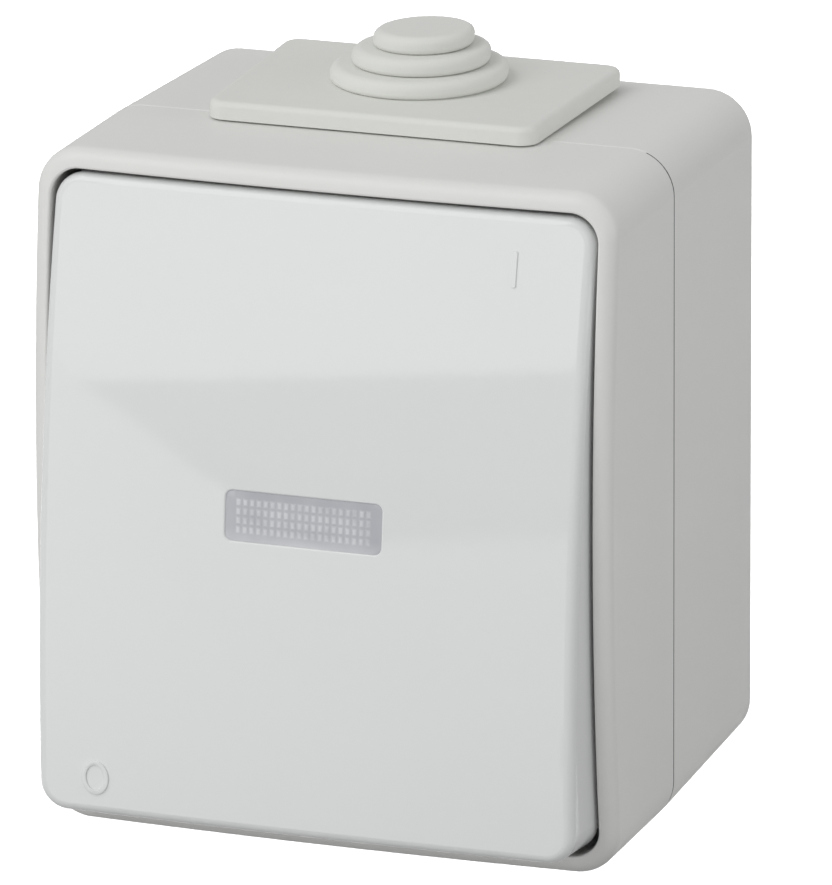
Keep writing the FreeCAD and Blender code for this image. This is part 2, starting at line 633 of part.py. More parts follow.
def rocker():
    shape = crowned_plate(ROCKER_WIDTH, ROCKER_HEIGHT, ROCKER_CORNER_RADIUS, ROCKER_BACK, ROCKER_CROWN,
                          ROCKER_RADIUS_UP)
    shape = shape.makeFillet(ROCKER_EDGE_RADIUS, front_edges(shape))
    inner_width = ROCKER_WIDTH - 2 * ROCKER_SKIRT
    hollow = crowned_plate(inner_width, ROCKER_HEIGHT - 2 * ROCKER_SKIRT, ROCKER_CORNER_RADIUS - ROCKER_SKIRT,
                           ROCKER_BACK, ROCKER_CROWN - ROCKER_WALL, ROCKER_RADIUS_UP)
    shape = shape.cut(hollow)
    under_front = dome(ROCKER_CROWN - ROCKER_WALL / 2, ROCKER_RADIUS_UP)
    ribs = [block((-inner_width / 2, inner_width / 2), (PIVOT_DEPTH, ROCKER_CROWN),
                  (z - ROCKER_RIB / 2, z + ROCKER_RIB / 2)) for z in (-ROCKER_RIB_HEIGHT, ROCKER_RIB_HEIGHT)]
    legs = [drive_leg(side, 0, ROCKER_CROWN) for side in SIDES.values()]
    added = [piece.common(under_front) for piece in ribs + legs]
    half = ROCKER_WIDTH / 2
    added += [rod_across(PIVOT_RADIUS, mirrored(side, (half - ROCKER_SKIRT, half + PIVOT_ENGAGEMENT)),
                         PIVOT_DEPTH) for side in SIDES.values()]
    shape = shape.fuse(added).removeSplitter()
    window = plate(WINDOW_WIDTH, WINDOW_HEIGHT, WINDOW_CORNER_RADIUS,
                   (ROCKER_CROWN - 2 * ROCKER_WALL, ROCKER_CROWN + OVERCUT))
    shape = shape.cut(window)
    return with_rocker(shape.makeFillet(WINDOW_EDGE_RADIUS, window_edges(shape)))


def window_edges(shape):
    """Edges where the walls of the window meet the rocker's crowned front."""
    return [edge for edge in shape.Edges
            if edge.BoundBox.YMax < -(ROCKER_CROWN - ROCKER_WALL / 2)
            and max(abs(edge.BoundBox.ZMin), abs(edge.BoundBox.ZMax)) < WINDOW_HEIGHT / 2 + LENS_FLANGE
            and max(abs(edge.BoundBox.XMin), abs(edge.BoundBox.XMax)) < WINDOW_WIDTH / 2 + LENS_FLANGE]


def drive_leg(side, offset, front):
    """Leg with a round bead at its tip, grown all round by an offset."""
    half_width = LEG_WIDTH / 2 + offset
    across = mirrored(side, (LEG_X - half_width, LEG_X + half_width))
    half_thickness = LEG_THICKNESS / 2 + offset
    shape = block(across, (LEG_TIP_DEPTH, front), (-half_thickness, half_thickness))
    return shape.fuse(rod_across(LEG_BEAD_RADIUS + offset, across, LEG_TIP_DEPTH)).removeSplitter()


def window_lens():
    inset = 2 * SEAT_CLEARANCE
    seat = ROCKER_CROWN - ROCKER_WALL - SEAT_CLEARANCE
    back = seat - LENS_FLANGE_THICKNESS
    pane = crowned_plate(WINDOW_WIDTH - inset, WINDOW_HEIGHT - inset, WINDOW_CORNER_RADIUS - SEAT_CLEARANCE,
                         back, ROCKER_CROWN - LENS_RECESS, ROCKER_RADIUS_UP)
    flange = crowned_plate(WINDOW_WIDTH + 2 * LENS_FLANGE, WINDOW_HEIGHT + 2 * LENS_FLANGE,
                           WINDOW_CORNER_RADIUS + LENS_FLANGE, back, seat, ROCKER_RADIUS_UP)
    shape = pane.fuse(flange).removeSplitter()
    half_width = WINDOW_WIDTH / 2 - PRISM_MARGIN_SIDE
    half_height = WINDOW_HEIGHT / 2 - PRISM_MARGIN_END
    grooves = [groove(UP * 2 * half_height, X_AXIS, back, FreeCAD.Vector(x, 0, -half_height))
               for x in steps(half_width, PRISM_COLUMNS)]
    grooves += [groove(X_AXIS * 2 * half_width, UP, back, FreeCAD.Vector(-half_width, 0, z))
                for z in steps(half_height, PRISM_ROWS)]
    return with_rocker(shape.cut(grooves))


def steps(half, count):
    """Places between the cells of a row, with its two ends."""
    return [half * (2 * index / count - 1) for index in range(count + 1)]


def groove(run, across, depth, start):
    """V-groove in a back face, cut from the back."""
    base = start + at(0, depth, 0)
    points = [base - across * PRISM_DEPTH, base + FRONT * PRISM_DEPTH, base + across * PRISM_DEPTH]
    return Part.Face(Part.makePolygon(points + points[:1])).extrude(run)


def rocker_membrane():
    inset = 2 * SEAT_CLEARANCE
    neck = plate(MEMBRANE_WIDTH - inset, MEMBRANE_HEIGHT - inset, MEMBRANE_CORNER_RADIUS - SEAT_CLEARANCE,
                 (FLOOR_BACK - MEMBRANE_LIP_THICKNESS, FLOOR_FRONT + MEMBRANE_LIP_THICKNESS))
    lips = [plate(MEMBRANE_WIDTH + 2 * MEMBRANE_LIP, MEMBRANE_HEIGHT + 2 * MEMBRANE_LIP,
                  MEMBRANE_CORNER_RADIUS + MEMBRANE_LIP, depths)
            for depths in ((FLOOR_BACK - MEMBRANE_LIP_THICKNESS, FLOOR_BACK),
                           (FLOOR_FRONT, FLOOR_FRONT + MEMBRANE_LIP_THICKNESS))]
    shape = neck.fuse(lips).removeSplitter()
    rim = 2 * MEMBRANE_LIP
    opening = (MEMBRANE_WIDTH - rim, MEMBRANE_HEIGHT - rim, MEMBRANE_CORNER_RADIUS - MEMBRANE_LIP / 2)
    shape = shape.cut([
        plate(*opening, (FLOOR_BACK - MEMBRANE_LIP_THICKNESS, SHEET_BACK)),
        plate(*opening, (SHEET_BACK + MEMBRANE_SHEET, FLOOR_FRONT + MEMBRANE_LIP_THICKNESS)),
    ])
    sleeve_front = SHEET_BACK + MEMBRANE_SHEET / 2
    sleeves = [with_rocker(drive_leg(side, SLEEVE, sleeve_front)) for side in SIDES.values()]
    shape = shape.fuse(sleeves).removeSplitter()
    return shape.cut([with_rocker(drive_leg(side, SLEEVE_GAP, ROCKER_CROWN)) for side in SIDES.values()])


def switch_body():
    shape = plate(BODY_WIDTH, BODY_HEIGHT, BODY_CORNER_RADIUS, (BODY_BACK, BODY_FRONT))
    ear_range = (BODY_BACK, BODY_BACK + EAR_THICKNESS)
    for x, z in ear_places():
        root = mirrored(math.copysign(1, z), (BODY_HEIGHT / 2, abs(z)))
        shape = shape.fuse([rod_out(EAR_RADIUS, x, z, ear_range),
                            block((x - EAR_RADIUS, x + EAR_RADIUS), ear_range, root)])
    shape = shape.removeSplitter()
    cuts = [rod_out(INSERT_SCREW_RADIUS + SCREW_HOLE_CLEARANCE, x, z, ear_range) for x, z in ear_places()]
    cuts.append(block((-BEARING_INNER, BEARING_INNER), (TOGGLE_SWEEP_BACK, BODY_FRONT),
                      (-TOGGLE_SWEEP, TOGGLE_SWEEP)))
    half = CHAMBER_WIDTH / 2
    chamber_end = BODY_HEIGHT / 2 - BODY_END_WALL
    for side in SIDES.values():
        x = side * POLE_X
        cuts.append(block((x - half, x + half), (CHAMBER_BACK, BODY_FRONT), (-chamber_end, chamber_end)))
        cuts.append(rod_up(TERMINAL_WIRE_RADIUS + WIRE_ENTRY_CLEARANCE, x, WIRE_DEPTH,
                           (-BODY_HEIGHT / 2, BODY_HEIGHT / 2)))
    shape = shape.cut(cuts)
    tilt = math.radians(ARM_TILT)
    stop_top = (ARM_AXIS + ARM_PIVOT_OFFSET * math.cos(tilt) - ARM_REACH * math.sin(tilt) - STOP_GAP)
    stop_inner = STRIP_WIDTH / 2 + SEAT_CLEARANCE
    stops = []
    for side in SIDES.values():
        for edge in SIDES.values():
            across = tuple(side * POLE_X + x for x in mirrored(edge, (stop_inner, half)))
            stops.append(block(across, (CHAMBER_BACK - BODY_FLOOR / 2, stop_top),
                               (-ARM_REACH, STOP_LENGTH - ARM_REACH)))
    return shape.fuse(stops).removeSplitter()


def insert_screws():
    seat = BODY_BACK + EAR_THICKNESS
    screws = [screw(x, z, seat, INSERT_HEAD_RADIUS, INSERT_HEAD_HEIGHT, INSERT_SCREW_RADIUS,
                    BODY_BACK - INSERT_SCREW_BITE) for x, z in ear_places()]
    return Part.makeCompound(screws)


def bearing_plate():
    shape = plate(BODY_WIDTH, BODY_HEIGHT, BODY_CORNER_RADIUS, (BODY_FRONT, PLATE_FRONT))
    shape = shape.cut([block((-BEARING_INNER, BEARING_INNER), (BODY_FRONT, PLATE_FRONT),
                             (-TOGGLE_SWEEP, TOGGLE_SWEEP))]
                      + [rod_out(TERMINAL_HEAD_RADIUS + SCREW_ACCESS_CLEARANCE, side * POLE_X,
                                 end * TERMINAL_MIDDLE, (BODY_FRONT, PLATE_FRONT)) for side, end in CORNERS])
    bearings = []
    for side in SIDES.values():
        across = mirrored(side, (BEARING_INNER, BEARING_OUTER))
        bearings.append(rod_across(BEARING_RADIUS, across, TOGGLE_AXIS))
        bearings.append(block(across, (BODY_FRONT, TOGGLE_AXIS), (-BEARING_RADIUS, BEARING_RADIUS)))
    clear = block((-BODY_WIDTH, BODY_WIDTH), (BODY_FRONT, CROWN_DEPTH), (-BODY_HEIGHT, BODY_HEIGHT))
    shape = shape.fuse([piece.common(clear) for piece in bearings]).removeSplitter()
    return shape.cut(rod_across(TOGGLE_PIN_RADIUS + RUN_CLEARANCE, (-BODY_WIDTH, BODY_WIDTH), TOGGLE_AXIS))


def toggle():
    back = TOGGLE_AXIS - TOGGLE_BACK
    front = TOGGLE_AXIS + TOGGLE_FRONT
    tip = LEG_TIP_DEPTH + FORK_TIP
    pieces = [block((-CHEEK_INNER, CHEEK_INNER), (TOGGLE_AXIS - BRIDGE_BACK, TOGGLE_AXIS + BRIDGE_FRONT),
                    (-BRIDGE_HALF_HEIGHT, BRIDGE_HALF_HEIGHT))]
    cuts = []
    for side in SIDES.values():
        cheek = mirrored(side, (CHEEK_INNER, CHEEK_OUTER))
        fork = mirrored(side, (LEG_X - LEG_WIDTH / 2 - CHEEK_MARGIN, CHEEK_OUTER))
        pin = mirrored(side, (CHEEK_OUTER, BEARING_INNER + TOGGLE_PIN_LENGTH))
        pieces.append(block(cheek, (back, front), (-TOGGLE_HALF_HEIGHT, TOGGLE_HALF_HEIGHT)))
        pieces.append(block(fork, (front, tip), (-TOGGLE_HALF_HEIGHT, TOGGLE_HALF_HEIGHT)))
        pieces.append(rod_across(TOGGLE_PIN_RADIUS, pin, TOGGLE_AXIS))
        pieces.append(rod_out(PLUNGER_BOSS_RADIUS, side * POLE_X, 0,
                              (TOGGLE_AXIS - PLUNGER_BOSS_BACK, front)))
        slot_back = LEG_TIP_DEPTH - FORK_SLOT / 2 - FORK_CLEARANCE
        cuts.append(block(mirrored(side, (CHEEK_INNER, CHEEK_OUTER)), (slot_back, tip),
                          (-FORK_SLOT / 2, FORK_SLOT / 2)))
        cuts.append(rod_out(PLUNGER_RADIUS + RUN_CLEARANCE, side * POLE_X, 0,
                            (TOGGLE_AXIS - PLUNGER_BOSS_BACK, TOGGLE_AXIS + PLUNGER_BORE_END)))
    shape = pieces[0].fuse(pieces[1:]).removeSplitter().cut(cuts)
    return with_toggle(shape)


def plunger(side):
    """Round-nosed pin that slides in the toggle."""
    nose = TOGGLE_AXIS - PLUNGER_REACH
    shape = rod_out(PLUNGER_RADIUS, side * POLE_X, 0, (nose, nose + PLUNGER_LENGTH))
    ball = Part.makeSphere(PLUNGER_RADIUS, at(side * POLE_X, nose, 0))
    return with_toggle(shape.fuse(ball).removeSplitter())


def plunger_spring(side):
    """Coil between the plunger and the end of its bore."""
    start = TOGGLE_AXIS - PLUNGER_REACH + PLUNGER_LENGTH + SPRING_WIRE / 2 + RUN_CLEARANCE
    end = TOGGLE_AXIS + PLUNGER_BORE_END - SPRING_WIRE / 2 - RUN_CLEARANCE
    radius = PLUNGER_RADIUS - SPRING_WIRE / 2 - RUN_CLEARANCE
    path = Part.makeHelix((end - start) / SPRING_TURNS, end - start, radius)
    circle = Part.makeCircle(SPRING_WIRE / 2, X_AXIS * radius, FreeCAD.Vector(0, 1, 0))
    section = Part.Wire(circle)
    shape = Part.Wire(path).makePipeShell([section], True, True)
    shape.rotate(FreeCAD.Vector(), X_AXIS, 90)
    shape.translate(at(side * POLE_X, start, 0))
    return with_toggle(shape)


def contact_arm(side):
    """Rocking bar on the round edge of the common terminal."""
    x = side * POLE_X
    half = ARM_WIDTH / 2
    shape = block((x - half, x + half), (ARM_BACK, ARM_BACK + ARM_THICKNESS), (-ARM_REACH, ARM_REACH))
    return with_arm(shape.cut(rod_across(ARM_PIVOT_RADIUS + RUN_CLEARANCE, (x - half, x + half), ARM_AXIS)))


def arm_rivet(side):
    return with_arm(rod_out(RIVET_RADIUS, side * POLE_X, RIVET_PLACE, (ARM_BACK - RIVET_HEAD, ARM_BACK)))


def terminal_block(x, end):
    """Clamp block with its wire hole and screw hole."""
    z_range = tuple(sorted((end * TERMINAL_INNER, end * TERMINAL_OUTER)))
    half = TERMINAL_WIDTH / 2
    shape = block((x - half, x + half), (CHAMBER_BACK, TERMINAL_FRONT), z_range)
    return shape.cut([rod_up(TERMINAL_WIRE_RADIUS, x, WIRE_DEPTH, z_range),
                      rod_out(TERMINAL_SCREW_RADIUS + RUN_CLEARANCE, x, end * TERMINAL_MIDDLE,
                              (WIRE_DEPTH, TERMINAL_FRONT))])


def strip(x, z_range):
    half = STRIP_WIDTH / 2
    return block((x - half, x + half), (CHAMBER_BACK, CHAMBER_BACK + STRIP_THICKNESS), z_range)


def common_terminal(side):
    x = side * POLE_X
    half = STRIP_WIDTH / 2
    post = block((x - half, x + half), (CHAMBER_BACK, ARM_AXIS), (-PIVOT_POST / 2, PIVOT_POST / 2))
    edge = rod_across(ARM_PIVOT_RADIUS, (x - half, x + half), ARM_AXIS)
    pieces = [strip(x, (-TERMINAL_INNER, STRIP_END)), post, edge]
    return terminal_block(x, -1).fuse(pieces).removeSplitter()


def fixed_terminal(side):
    x = side * POLE_X
    run = strip(x, (RIVET_PLACE - RIVET_RADIUS - STRIP_END / 2, TERMINAL_INNER))
    return terminal_block(x, 1).fuse(run).removeSplitter()


def fixed_rivet(side):
    tilt = math.radians(ARM_TILT)
    lowest = ARM_AXIS - ((RIVET_HEAD - ARM_PIVOT_OFFSET) * math.cos(tilt)
                         + (RIVET_PLACE + RIVET_RADIUS) * math.sin(tilt))
    return rod_out(RIVET_RADIUS, side * POLE_X, RIVET_PLACE,
                   (CHAMBER_BACK + STRIP_THICKNESS, lowest - CONTACT_GAP))


def terminal_screws():
    tip = WIRE_DEPTH + TERMINAL_WIRE_RADIUS / 2
    screws = [screw(side * POLE_X, end * TERMINAL_MIDDLE, TERMINAL_FRONT, TERMINAL_HEAD_RADIUS,
                    TERMINAL_HEAD_HEIGHT, TERMINAL_SCREW_RADIUS, tip) for side, end in CORNERS]
    return Part.makeCompound(screws)


def earth_terminal():
    half = EARTH_SIZE / 2
    bottom = BACK_WALL + EARTH_PEDESTAL
    top = bottom + EARTH_HEIGHT
    middle = (bottom + top) / 2
    z_range = (EARTH_Z - half, EARTH_Z + half)
    shape = block((EARTH_SIDE - half, EARTH_SIDE + half), (bottom, top), z_range)
    return shape.cut([rod_up(TERMINAL_WIRE_RADIUS, EARTH_SIDE, middle, z_range),
                      rod_out(TERMINAL_SCREW_RADIUS + RUN_CLEARANCE, EARTH_SIDE, EARTH_Z, (middle, top))])


def earth_screw():
    seat = BACK_WALL + EARTH_PEDESTAL + EARTH_HEIGHT
    return screw(EARTH_SIDE, EARTH_Z, seat, TERMINAL_HEAD_RADIUS, TERMINAL_HEAD_HEIGHT,
                 TERMINAL_SCREW_RADIUS, seat - EARTH_HEIGHT / 2 + TERMINAL_WIRE_RADIUS / 2)


def lamp_holder():
    """Arch over the toggle, with two cradles for the lamp."""
    half = HOLDER_WIDTH / 2
    end_half = HOLDER_END_WIDTH / 2
    pieces = [block((-half, half), (HOLDER_BACK, HOLDER_FRONT), (-HOLDER_FOOT_OUTER, HOLDER_FOOT_OUTER))]
    for end in SIDES.values():
        z_range = mirrored(end, (HOLDER_FOOT_INNER, HOLDER_FOOT_OUTER))
        pieces.append(block((-end_half, end_half), (PLATE_FRONT, HOLDER_FRONT), z_range))
        across = mirrored(end, (CRADLE_PLACE, CRADLE_PLACE + CRADLE_THICKNESS))
        pieces.append(block(across, (HOLDER_BACK, LAMP_DEPTH), (-CRADLE_HALF_HEIGHT, CRADLE_HALF_HEIGHT)))
    shape = pieces[0].fuse(pieces[1:]).removeSplitter()
    return shape.cut(rod_across(LAMP_RADIUS + RUN_CLEARANCE, (-end_half, end_half), LAMP_DEPTH))


def neon_lamp():
    half = LAMP_LENGTH / 2
    shape = rod_across(LAMP_RADIUS, (-half, half), LAMP_DEPTH)
    ends = [edge for edge in shape.Edges if edge.Curve.TypeId == "Part::GeomCircle"]
    return shape.makeFillet(LAMP_RADIUS / 2, ends)


def lamp_leads():
    """Bent wires from the ends of the lamp to the feet of its holder."""
    leads = []
    for side in SIDES.values():
        out = side * (LAMP_LENGTH / 2 + LEAD_OUT)
        foot = side * (HOLDER_FOOT_INNER + HOLDER_FOOT_OUTER) / 2
        start = at(side * LAMP_LENGTH / 2, LAMP_DEPTH, 0)
        turn = at(out, LAMP_DEPTH, 0)
        dive = at(out, LAMP_DEPTH, foot)
        end = at(out, HOLDER_FRONT, foot)
        path = rounded_path([start, turn, dive, end], LEAD_BEND)
        section = Part.Wire(Part.makeCircle(LEAD_RADIUS, start, X_AXIS))
        leads.append(path.makePipeShell([section], True, True))
    return Part.makeCompound(leads)


def rounded_path(points, radius):
    """Straight runs joined by tangent arcs at right angles."""
    edges = []
    here = points[0]
    for corner, after in zip(points[1:-1], points[2:]):
        inward = (corner - here).normalize()
        onward = (after - corner).normalize()
        arc_start = corner - inward * radius
        arc_end = corner + onward * radius
        middle = corner + (onward - inward) * (radius * (1 - math.sqrt(0.5)))
        edges.append(Part.LineSegment(here, arc_start).toShape())
        edges.append(Part.Arc(arc_start, middle, arc_end).toShape())
        here = arc_end
    edges.append(Part.LineSegment(here, points[-1]).toShape())
    return Part.Wire(edges)


def build():
    nodes = {
        "rear_box": rear_box(),
        "front_cover": front_cover(),
        "cover_seal": cover_seal(),
        "cover_screws": cover_screws(),
        "cable_grommet": cable_grommet(),
        "rocker": rocker(),
        "window_lens": window_lens(),
        "rocker_membrane": rocker_membrane(),
        "switch_body": switch_body(),
        "insert_screws": insert_screws(),
        "bearing_plate": bearing_plate(),
        "toggle": toggle(),
        "terminal_screws": terminal_screws(),
        "earth_terminal": earth_terminal(),
        "earth_screw": earth_screw(),
        "lamp_holder": lamp_holder(),
        "neon_lamp": neon_lamp(),
        "lamp_leads": lamp_leads(),
    }
    for name, side in SIDES.items():
        nodes["plunger_" + name] = plunger(side)
        nodes["plunger_spring_" + name] = plunger_spring(side)
        nodes["contact_arm_" + name] = contact_arm(side)
        nodes["arm_rivet_" + name] = arm_rivet(side)
        nodes["common_terminal_" + name] = common_terminal(side)
        nodes["fixed_terminal_" + name] = fixed_terminal(side)
        nodes["fixed_rivet_" + name] = fixed_rivet(side)
    os.makedirs("parts", exist_ok=True)
    for name, shape in nodes.items():
        shape.exportStep("parts/" + name + ".step")
    print("nodes", len(nodes))
    print("rocker pivot depth", PIVOT_DEPTH, "toggle axis depth", TOGGLE_AXIS, "arm axis depth", ARM_AXIS)
    print("toggle turns", TOGGLE_TILT, "for", ROCKER_TILT, "ratio", TOGGLE_TILT / ROCKER_TILT)


build()
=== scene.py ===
# %% [markdown]
# # A weatherproof rocker switch
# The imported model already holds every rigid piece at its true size, so Blender is used here for what a
# customer sees and touches: the glossy rocker, its window, the soft cable grommet and the finish of every
# surface. The frame is loaded once and never moved. Its box is kept, because the dressed switch has to
# fill the same space.

# %% Load the frame
import json
import math

import bmesh
import bpy
from mathutils import Matrix, Quaternion, Vector
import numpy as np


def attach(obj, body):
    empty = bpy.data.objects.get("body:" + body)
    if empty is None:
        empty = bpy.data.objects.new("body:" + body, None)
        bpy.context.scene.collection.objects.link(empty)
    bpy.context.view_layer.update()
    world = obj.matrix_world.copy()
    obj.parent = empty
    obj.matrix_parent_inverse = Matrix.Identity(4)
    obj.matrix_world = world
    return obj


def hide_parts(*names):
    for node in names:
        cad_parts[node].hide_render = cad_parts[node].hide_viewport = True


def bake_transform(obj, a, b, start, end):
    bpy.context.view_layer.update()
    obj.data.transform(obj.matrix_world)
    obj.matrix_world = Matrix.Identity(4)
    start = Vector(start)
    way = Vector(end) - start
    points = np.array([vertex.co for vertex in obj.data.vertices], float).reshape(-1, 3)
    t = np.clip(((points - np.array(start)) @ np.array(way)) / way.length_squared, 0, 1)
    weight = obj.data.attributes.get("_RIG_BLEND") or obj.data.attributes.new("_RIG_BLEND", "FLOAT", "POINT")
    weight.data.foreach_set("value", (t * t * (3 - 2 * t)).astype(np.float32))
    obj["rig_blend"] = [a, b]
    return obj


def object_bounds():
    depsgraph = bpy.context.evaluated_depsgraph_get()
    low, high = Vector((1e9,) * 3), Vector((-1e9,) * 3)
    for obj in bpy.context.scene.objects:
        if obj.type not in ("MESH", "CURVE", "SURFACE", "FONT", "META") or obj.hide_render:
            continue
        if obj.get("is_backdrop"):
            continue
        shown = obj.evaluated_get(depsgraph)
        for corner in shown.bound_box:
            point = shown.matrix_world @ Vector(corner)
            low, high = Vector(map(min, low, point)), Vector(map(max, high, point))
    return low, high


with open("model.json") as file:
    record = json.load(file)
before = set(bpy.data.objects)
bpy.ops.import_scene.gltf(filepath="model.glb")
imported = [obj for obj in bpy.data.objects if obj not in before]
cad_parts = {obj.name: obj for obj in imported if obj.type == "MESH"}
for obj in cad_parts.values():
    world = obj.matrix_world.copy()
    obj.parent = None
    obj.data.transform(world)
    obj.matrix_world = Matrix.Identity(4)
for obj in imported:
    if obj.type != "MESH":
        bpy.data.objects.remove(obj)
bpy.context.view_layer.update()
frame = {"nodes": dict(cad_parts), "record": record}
nodes = frame["nodes"]
MM = 0.001

# %% [markdown]
# ## Camera
# A product photographer stands well back with a long lens, so that the box keeps its straight edges. The
# camera is turned about the switch by two angles and a very small roll. A camera can be aimed with a
# constraint, but a matrix made of its three axes leaves nothing live in the file.

# %% Place the camera
AZIMUTH, ELEVATION, ROLL = (math.radians(angle) for angle in (20.099, 16.862, -0.383))
LENS = 413.06
DISTANCE = 1105.63 * MM
AIM = Vector((3.202, -28.0, 2.530)) * MM

back = Vector((math.sin(AZIMUTH) * math.cos(ELEVATION), -math.cos(AZIMUTH) * math.cos(ELEVATION),
               math.sin(ELEVATION)))
level = Vector((math.cos(AZIMUTH), math.sin(AZIMUTH), 0))
upright = back.cross(level)
right = level * math.cos(ROLL) + upright * math.sin(ROLL)
axes = Matrix((right, back.cross(right), back)).transposed()
bpy.ops.object.camera_add(location=AIM + back * DISTANCE, rotation=axes.to_euler())
camera = bpy.context.object
camera.name = "camera"
camera.data.lens = LENS
camera.data.clip_start = 0.1
bpy.context.scene.camera = camera
print("camera stands", round((AIM + back * DISTANCE).length, 3), "m away")

# %% [markdown]
# ## Shader maths
# A finish is a small calculation: some noise, a little more noise, a sum. Drawn as nodes it is hard to
# read, so one class wraps an output socket and lets plus, minus and times add the Math nodes. A second
# class is the material itself. Its one method makes any other node: the type, the settings, the sockets.

# %% Sockets that can be added and multiplied
class Socket:
    """An output of a finish's node, as a term in a formula."""

    def __init__(self, finish, output):
        self.finish = finish
        self.output = output

    def math(self, operation, first, second):
        return self.finish.node("ShaderNodeMath", {"operation": operation}, {0: first, 1: second})

    def __add__(self, other):
        return self.math("ADD", self, other)

    def __sub__(self, other):
        return self.math("SUBTRACT", self, other)

    def __rsub__(self, other):
        return self.math("SUBTRACT", other, self)

    def __mul__(self, other):
        return self.math("MULTIPLY", self, other)

    __radd__ = __add__
    __rmul__ = __mul__


class Finish:
    """A material with one Principled shader. It takes the place of a plain one of the same name."""

    def __init__(self, name, **uniform):
        plain = bpy.data.materials.get(name)
        if plain:
            bpy.data.materials.remove(plain)
        self.material = bpy.data.materials.new(name)
        self.material.use_nodes = True
        self.tree = self.material.node_tree
        self.shader = self.tree.nodes["Principled BSDF"]
        self.place = self.node("ShaderNodeTexCoord", output="Object")
        for entry, value in uniform.items():
            self.set(entry.replace("_", " "), value)

    def node(self, kind, settings=None, sockets=None, output=0):
        made = self.tree.nodes.new(kind)
        for name, value in (settings or {}).items():
            setattr(made, name, value)
        for name, value in (sockets or {}).items():
            self.feed(made.inputs[name], value)
        return Socket(self, made.outputs[output])

    def feed(self, entry, value):
        if isinstance(value, Socket):
            self.tree.links.new(value.output, entry)
        else:
            entry.default_value = value

    def set(self, name, value):
        self.feed(self.shader.inputs[name], value)

    def noise(self, size, detail=2.0, stretch=(1, 1, 1)):
        """Soft noise about zero, with lumps of a size in millimetres, longer where stretch is above one."""
        scale = [1 / (size * MM * s) for s in stretch]
        lumps = self.node("ShaderNodeMapping", {"vector_type": "POINT"},
                          {"Vector": self.place, "Scale": scale})
        return self.node("ShaderNodeTexNoise", None,
                         {"Vector": lumps, "Scale": 1.0, "Detail": detail}) - 0.5

    def axis(self, name):
        """The place along one axis, in metres."""
        return self.node("ShaderNodeSeparateXYZ", None, {0: self.place}, output=name)

    def ramp(self, value, start, end):
        """A share that goes from zero at one place to one at another, both in millimetres."""
        return self.node("ShaderNodeMapRange", None,
                         {"Value": value, "From Min": start * MM, "From Max": end * MM})

    def between(self, factor, dark, light):
        """A colour that moves from dark to light."""
        return self.node("ShaderNodeMix", {"data_type": "RGBA"},
                         {0: factor, 6: (*dark, 1.0), 7: (*light, 1.0)}, output=2)

    def relief(self, height, depth):
        """Bumps of a depth in millimetres."""
        bump = {"Strength": 1.0, "Distance": depth * MM, "Height": height}
        self.set("Normal", self.node("ShaderNodeBump", None, bump))


print("the formula classes are ready")

# %% [markdown]
# ## Moulded plastic
# Injection-moulded plastic looks plain from afar. Close up, its colour drifts a little where the melt
# cooled, its gloss is uneven, and the steel of the mould leaves a grain. All plastics and rubbers of the
# switch use this one recipe with other numbers: a broad and a fine noise drive tone and gloss, two more the
# grain.

# %% Plastics and rubbers
BROAD, FINE = 22.0, 1.1
WAVE = 6


def moulded(name, colour, drift, roughness, gloss_drift, grain, grain_depth):
    """A moulded finish. Drift is the share by which the tone varies, grain the size of its bumps in mm."""
    finish = Finish(name)
    broad = finish.noise(BROAD, 1.0)
    fine = finish.noise(FINE, 3.0)
    tone = broad * 0.9 + fine * 0.5 + 0.5
    finish.set("Base Color", finish.between(tone, [c * (1 - drift) for c in colour],
                                            [min(1.0, c * (1 + drift)) for c in colour]))
    finish.set("Roughness", fine * gloss_drift + broad * gloss_drift + roughness)
    finish.relief(finish.noise(grain, 2.0) + finish.noise(grain * WAVE, 1.0) * 0.8, grain_depth)
    return finish.material


MOULDED = {
    "housing_grey": ((0.832, 0.832, 0.812), 0.02, 0.42, 0.08, 0.30, 0.004),
    "rocker_white": ((0.843, 0.858, 0.855), 0.012, 0.05, 0.015, 0.60, 0.0010),
    "grommet_grey": ((0.795, 0.802, 0.768), 0.03, 0.62, 0.10, 0.22, 0.006),
    "seal_black": ((0.022, 0.022, 0.023), 0.25, 0.70, 0.12, 0.25, 0.008),
    "membrane_silicone": ((0.16, 0.165, 0.17), 0.10, 0.55, 0.10, 0.25, 0.006),
    "insert_white": ((0.72, 0.70, 0.64), 0.03, 0.48, 0.08, 0.30, 0.004),
    "toggle_grey": ((0.24, 0.25, 0.26), 0.05, 0.40, 0.08, 0.28, 0.004),
    "plunger_white": ((0.78, 0.77, 0.73), 0.03, 0.35, 0.06, 0.22, 0.003),
}
for name, recipe in MOULDED.items():
    moulded(name, *recipe)
print("moulded finishes:", len(MOULDED))

# %% [markdown]
# ## Metal
# The metal parts are stamped from rolled strip, so their scratches run one way. Noise that is stretched
# along that way gives streaks, which change the roughness more than the colour.

# %% Metals
STREAK, STAIN = 0.16, 3.5
SCRATCH = 0.004


def rolled(name, colour, drift, roughness, stretch):
    """A metal with streaks along its longest stretch."""
    finish = Finish(name, Metallic=1.0)
    streak = finish.noise(STREAK, 3.0, stretch)
    stain = finish.noise(STAIN, 2.0)
    finish.set("Base Color", finish.between(stain + streak * 0.4 + 0.5,
                                            [c * (1 - drift) for c in colour], colour))
    finish.set("Roughness", streak * 0.22 + stain * 0.10 + roughness)
    finish.relief(streak, SCRATCH)


